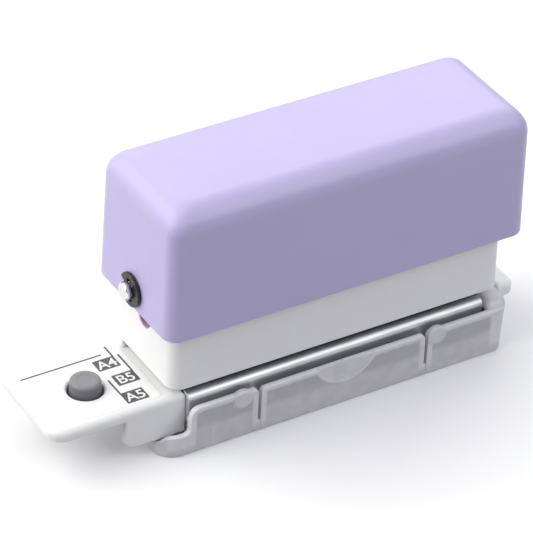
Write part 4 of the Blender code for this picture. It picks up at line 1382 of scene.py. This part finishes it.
def painted_tray_tone(x, y, z):
    """Painted see-through tone at a place, from 0 (painted shade of the steel behind) to 1 (thick
    border painted pale).

    The front's panels are painted dark, as the flange's shade seen through the thin wall, from one
    border's width inside their edges down to the end of the flange behind them, and fade to the
    plain wall below it.  Borders, snap discs and the scoop are painted paler, where the wall is
    thicker.
    """
    top = rim_height(x, np.full_like(x, tray_low[1]))
    from_slit = slit_distance(x)
    from_right = 0.4 * (tray_high[0] - 3.1 * MM - x) + 0.6 * MM
    from_side = np.minimum(np.minimum(from_slit, x - PANEL_LEFT_X), from_right)
    inside = np.minimum(from_side, top - z)
    # Painted shade: inside the panels the flange behind the thin wall is painted in as darker
    # colour.
    window = smooth_step(inside, BORDER - 0.1 * MM, BORDER + 0.25 * MM)
    shade = window * smooth_step(z, FLANGE_END_Z - 0.8 * MM, FLANGE_END_Z + 0.9 * MM)
    # Painted light: the thicker borders, discs and scoop are painted paler than the thin wall.
    border = 1 - smooth_step(np.minimum(from_side, top - z), BORDER - 0.15 * MM, BORDER + 0.1 * MM)
    border = border * smooth_step(z, 1.0 * MM, 2.0 * MM)
    tone = 0.5 - 0.5 * shade + 0.5 * border
    for disc_x in SNAP_X:
        away = np.hypot(x - disc_x, z - SNAP_Z)
        tone = np.where(away < SNAP_RADIUS, 0.72, tone)
    away = np.hypot(x - SCOOP_CENTRE[0], z - SCOOP_CENTRE[1])
    scoop = 1 - smooth_step(away, SCOOP_RADIUS - 0.1 * MM, SCOOP_RADIUS + 0.2 * MM)
    lip = scoop * smooth_step(away, SCOOP_RADIUS - 0.5 * MM, SCOOP_RADIUS - 0.2 * MM)
    tone = tone * (1 - scoop) + scoop * (0.66 + 0.3 * lip)
    # A paler upright line at x -24.9 mm, below the flange's end.
    upright_pale_line = 1 - smooth_step(np.abs(x + 24.9 * MM), 0.15 * MM, 0.3 * MM)
    tone = tone + 0.18 * upright_pale_line * (z < FLANGE_END_Z - 0.4 * MM)
    return np.where(y < tray_low[1] + 0.9 * MM, tone, 0.6)


# The painted see-through tone is stored on the points and blends the base colour from dark to pale
# frost.
vertices = tray.data.vertices
places = np.empty(len(vertices) * 3, np.float32)
vertices.foreach_get("co", places)
pale = tray.data.attributes.new("pale", "FLOAT", "POINT")
pale.data.foreach_set("value", painted_tray_tone(*places.reshape(-1, 3).T.astype(float)).astype(np.float32))
frosted, frosted_shader, frosted_where = new_finish("frosted_polypropylene", FROST_DARK, 0.45)
tone_node = frosted.node_tree.nodes.new("ShaderNodeAttribute")
tone_node.attribute_name = "pale"
frost_clouds = spread(frosted, mottle(frosted, frosted_where, 420.0, 4.0), -0.16, 0.16)
tone_sum = frosted.node_tree.nodes.new("ShaderNodeMath")
tone_sum.operation = "ADD"
tone_sum.use_clamp = True
frosted.node_tree.links.new(tone_node.outputs["Fac"], tone_sum.inputs[0])
frosted.node_tree.links.new(frost_clouds, tone_sum.inputs[1])
frost_colour = blend_colours(frosted, tone_sum.outputs["Value"], FROST_DARK, FROST_PALE)
frosted.node_tree.links.new(frost_colour, frosted_shader.inputs["Base Color"])
uneven_gloss(frosted, frosted_shader, frosted_where, 1600.0, 3.0, 0.38, 0.52)
relief(frosted, frosted_shader, mottle(frosted, frosted_where, 3800.0, 3.0), 0.01 * MM)
frosted_shader.inputs["Transmission Weight"].default_value = 0.22
frosted_shader.inputs["IOR"].default_value = 1.4
finish_piece(tray, frosted, "tray", ["chip_tray"])
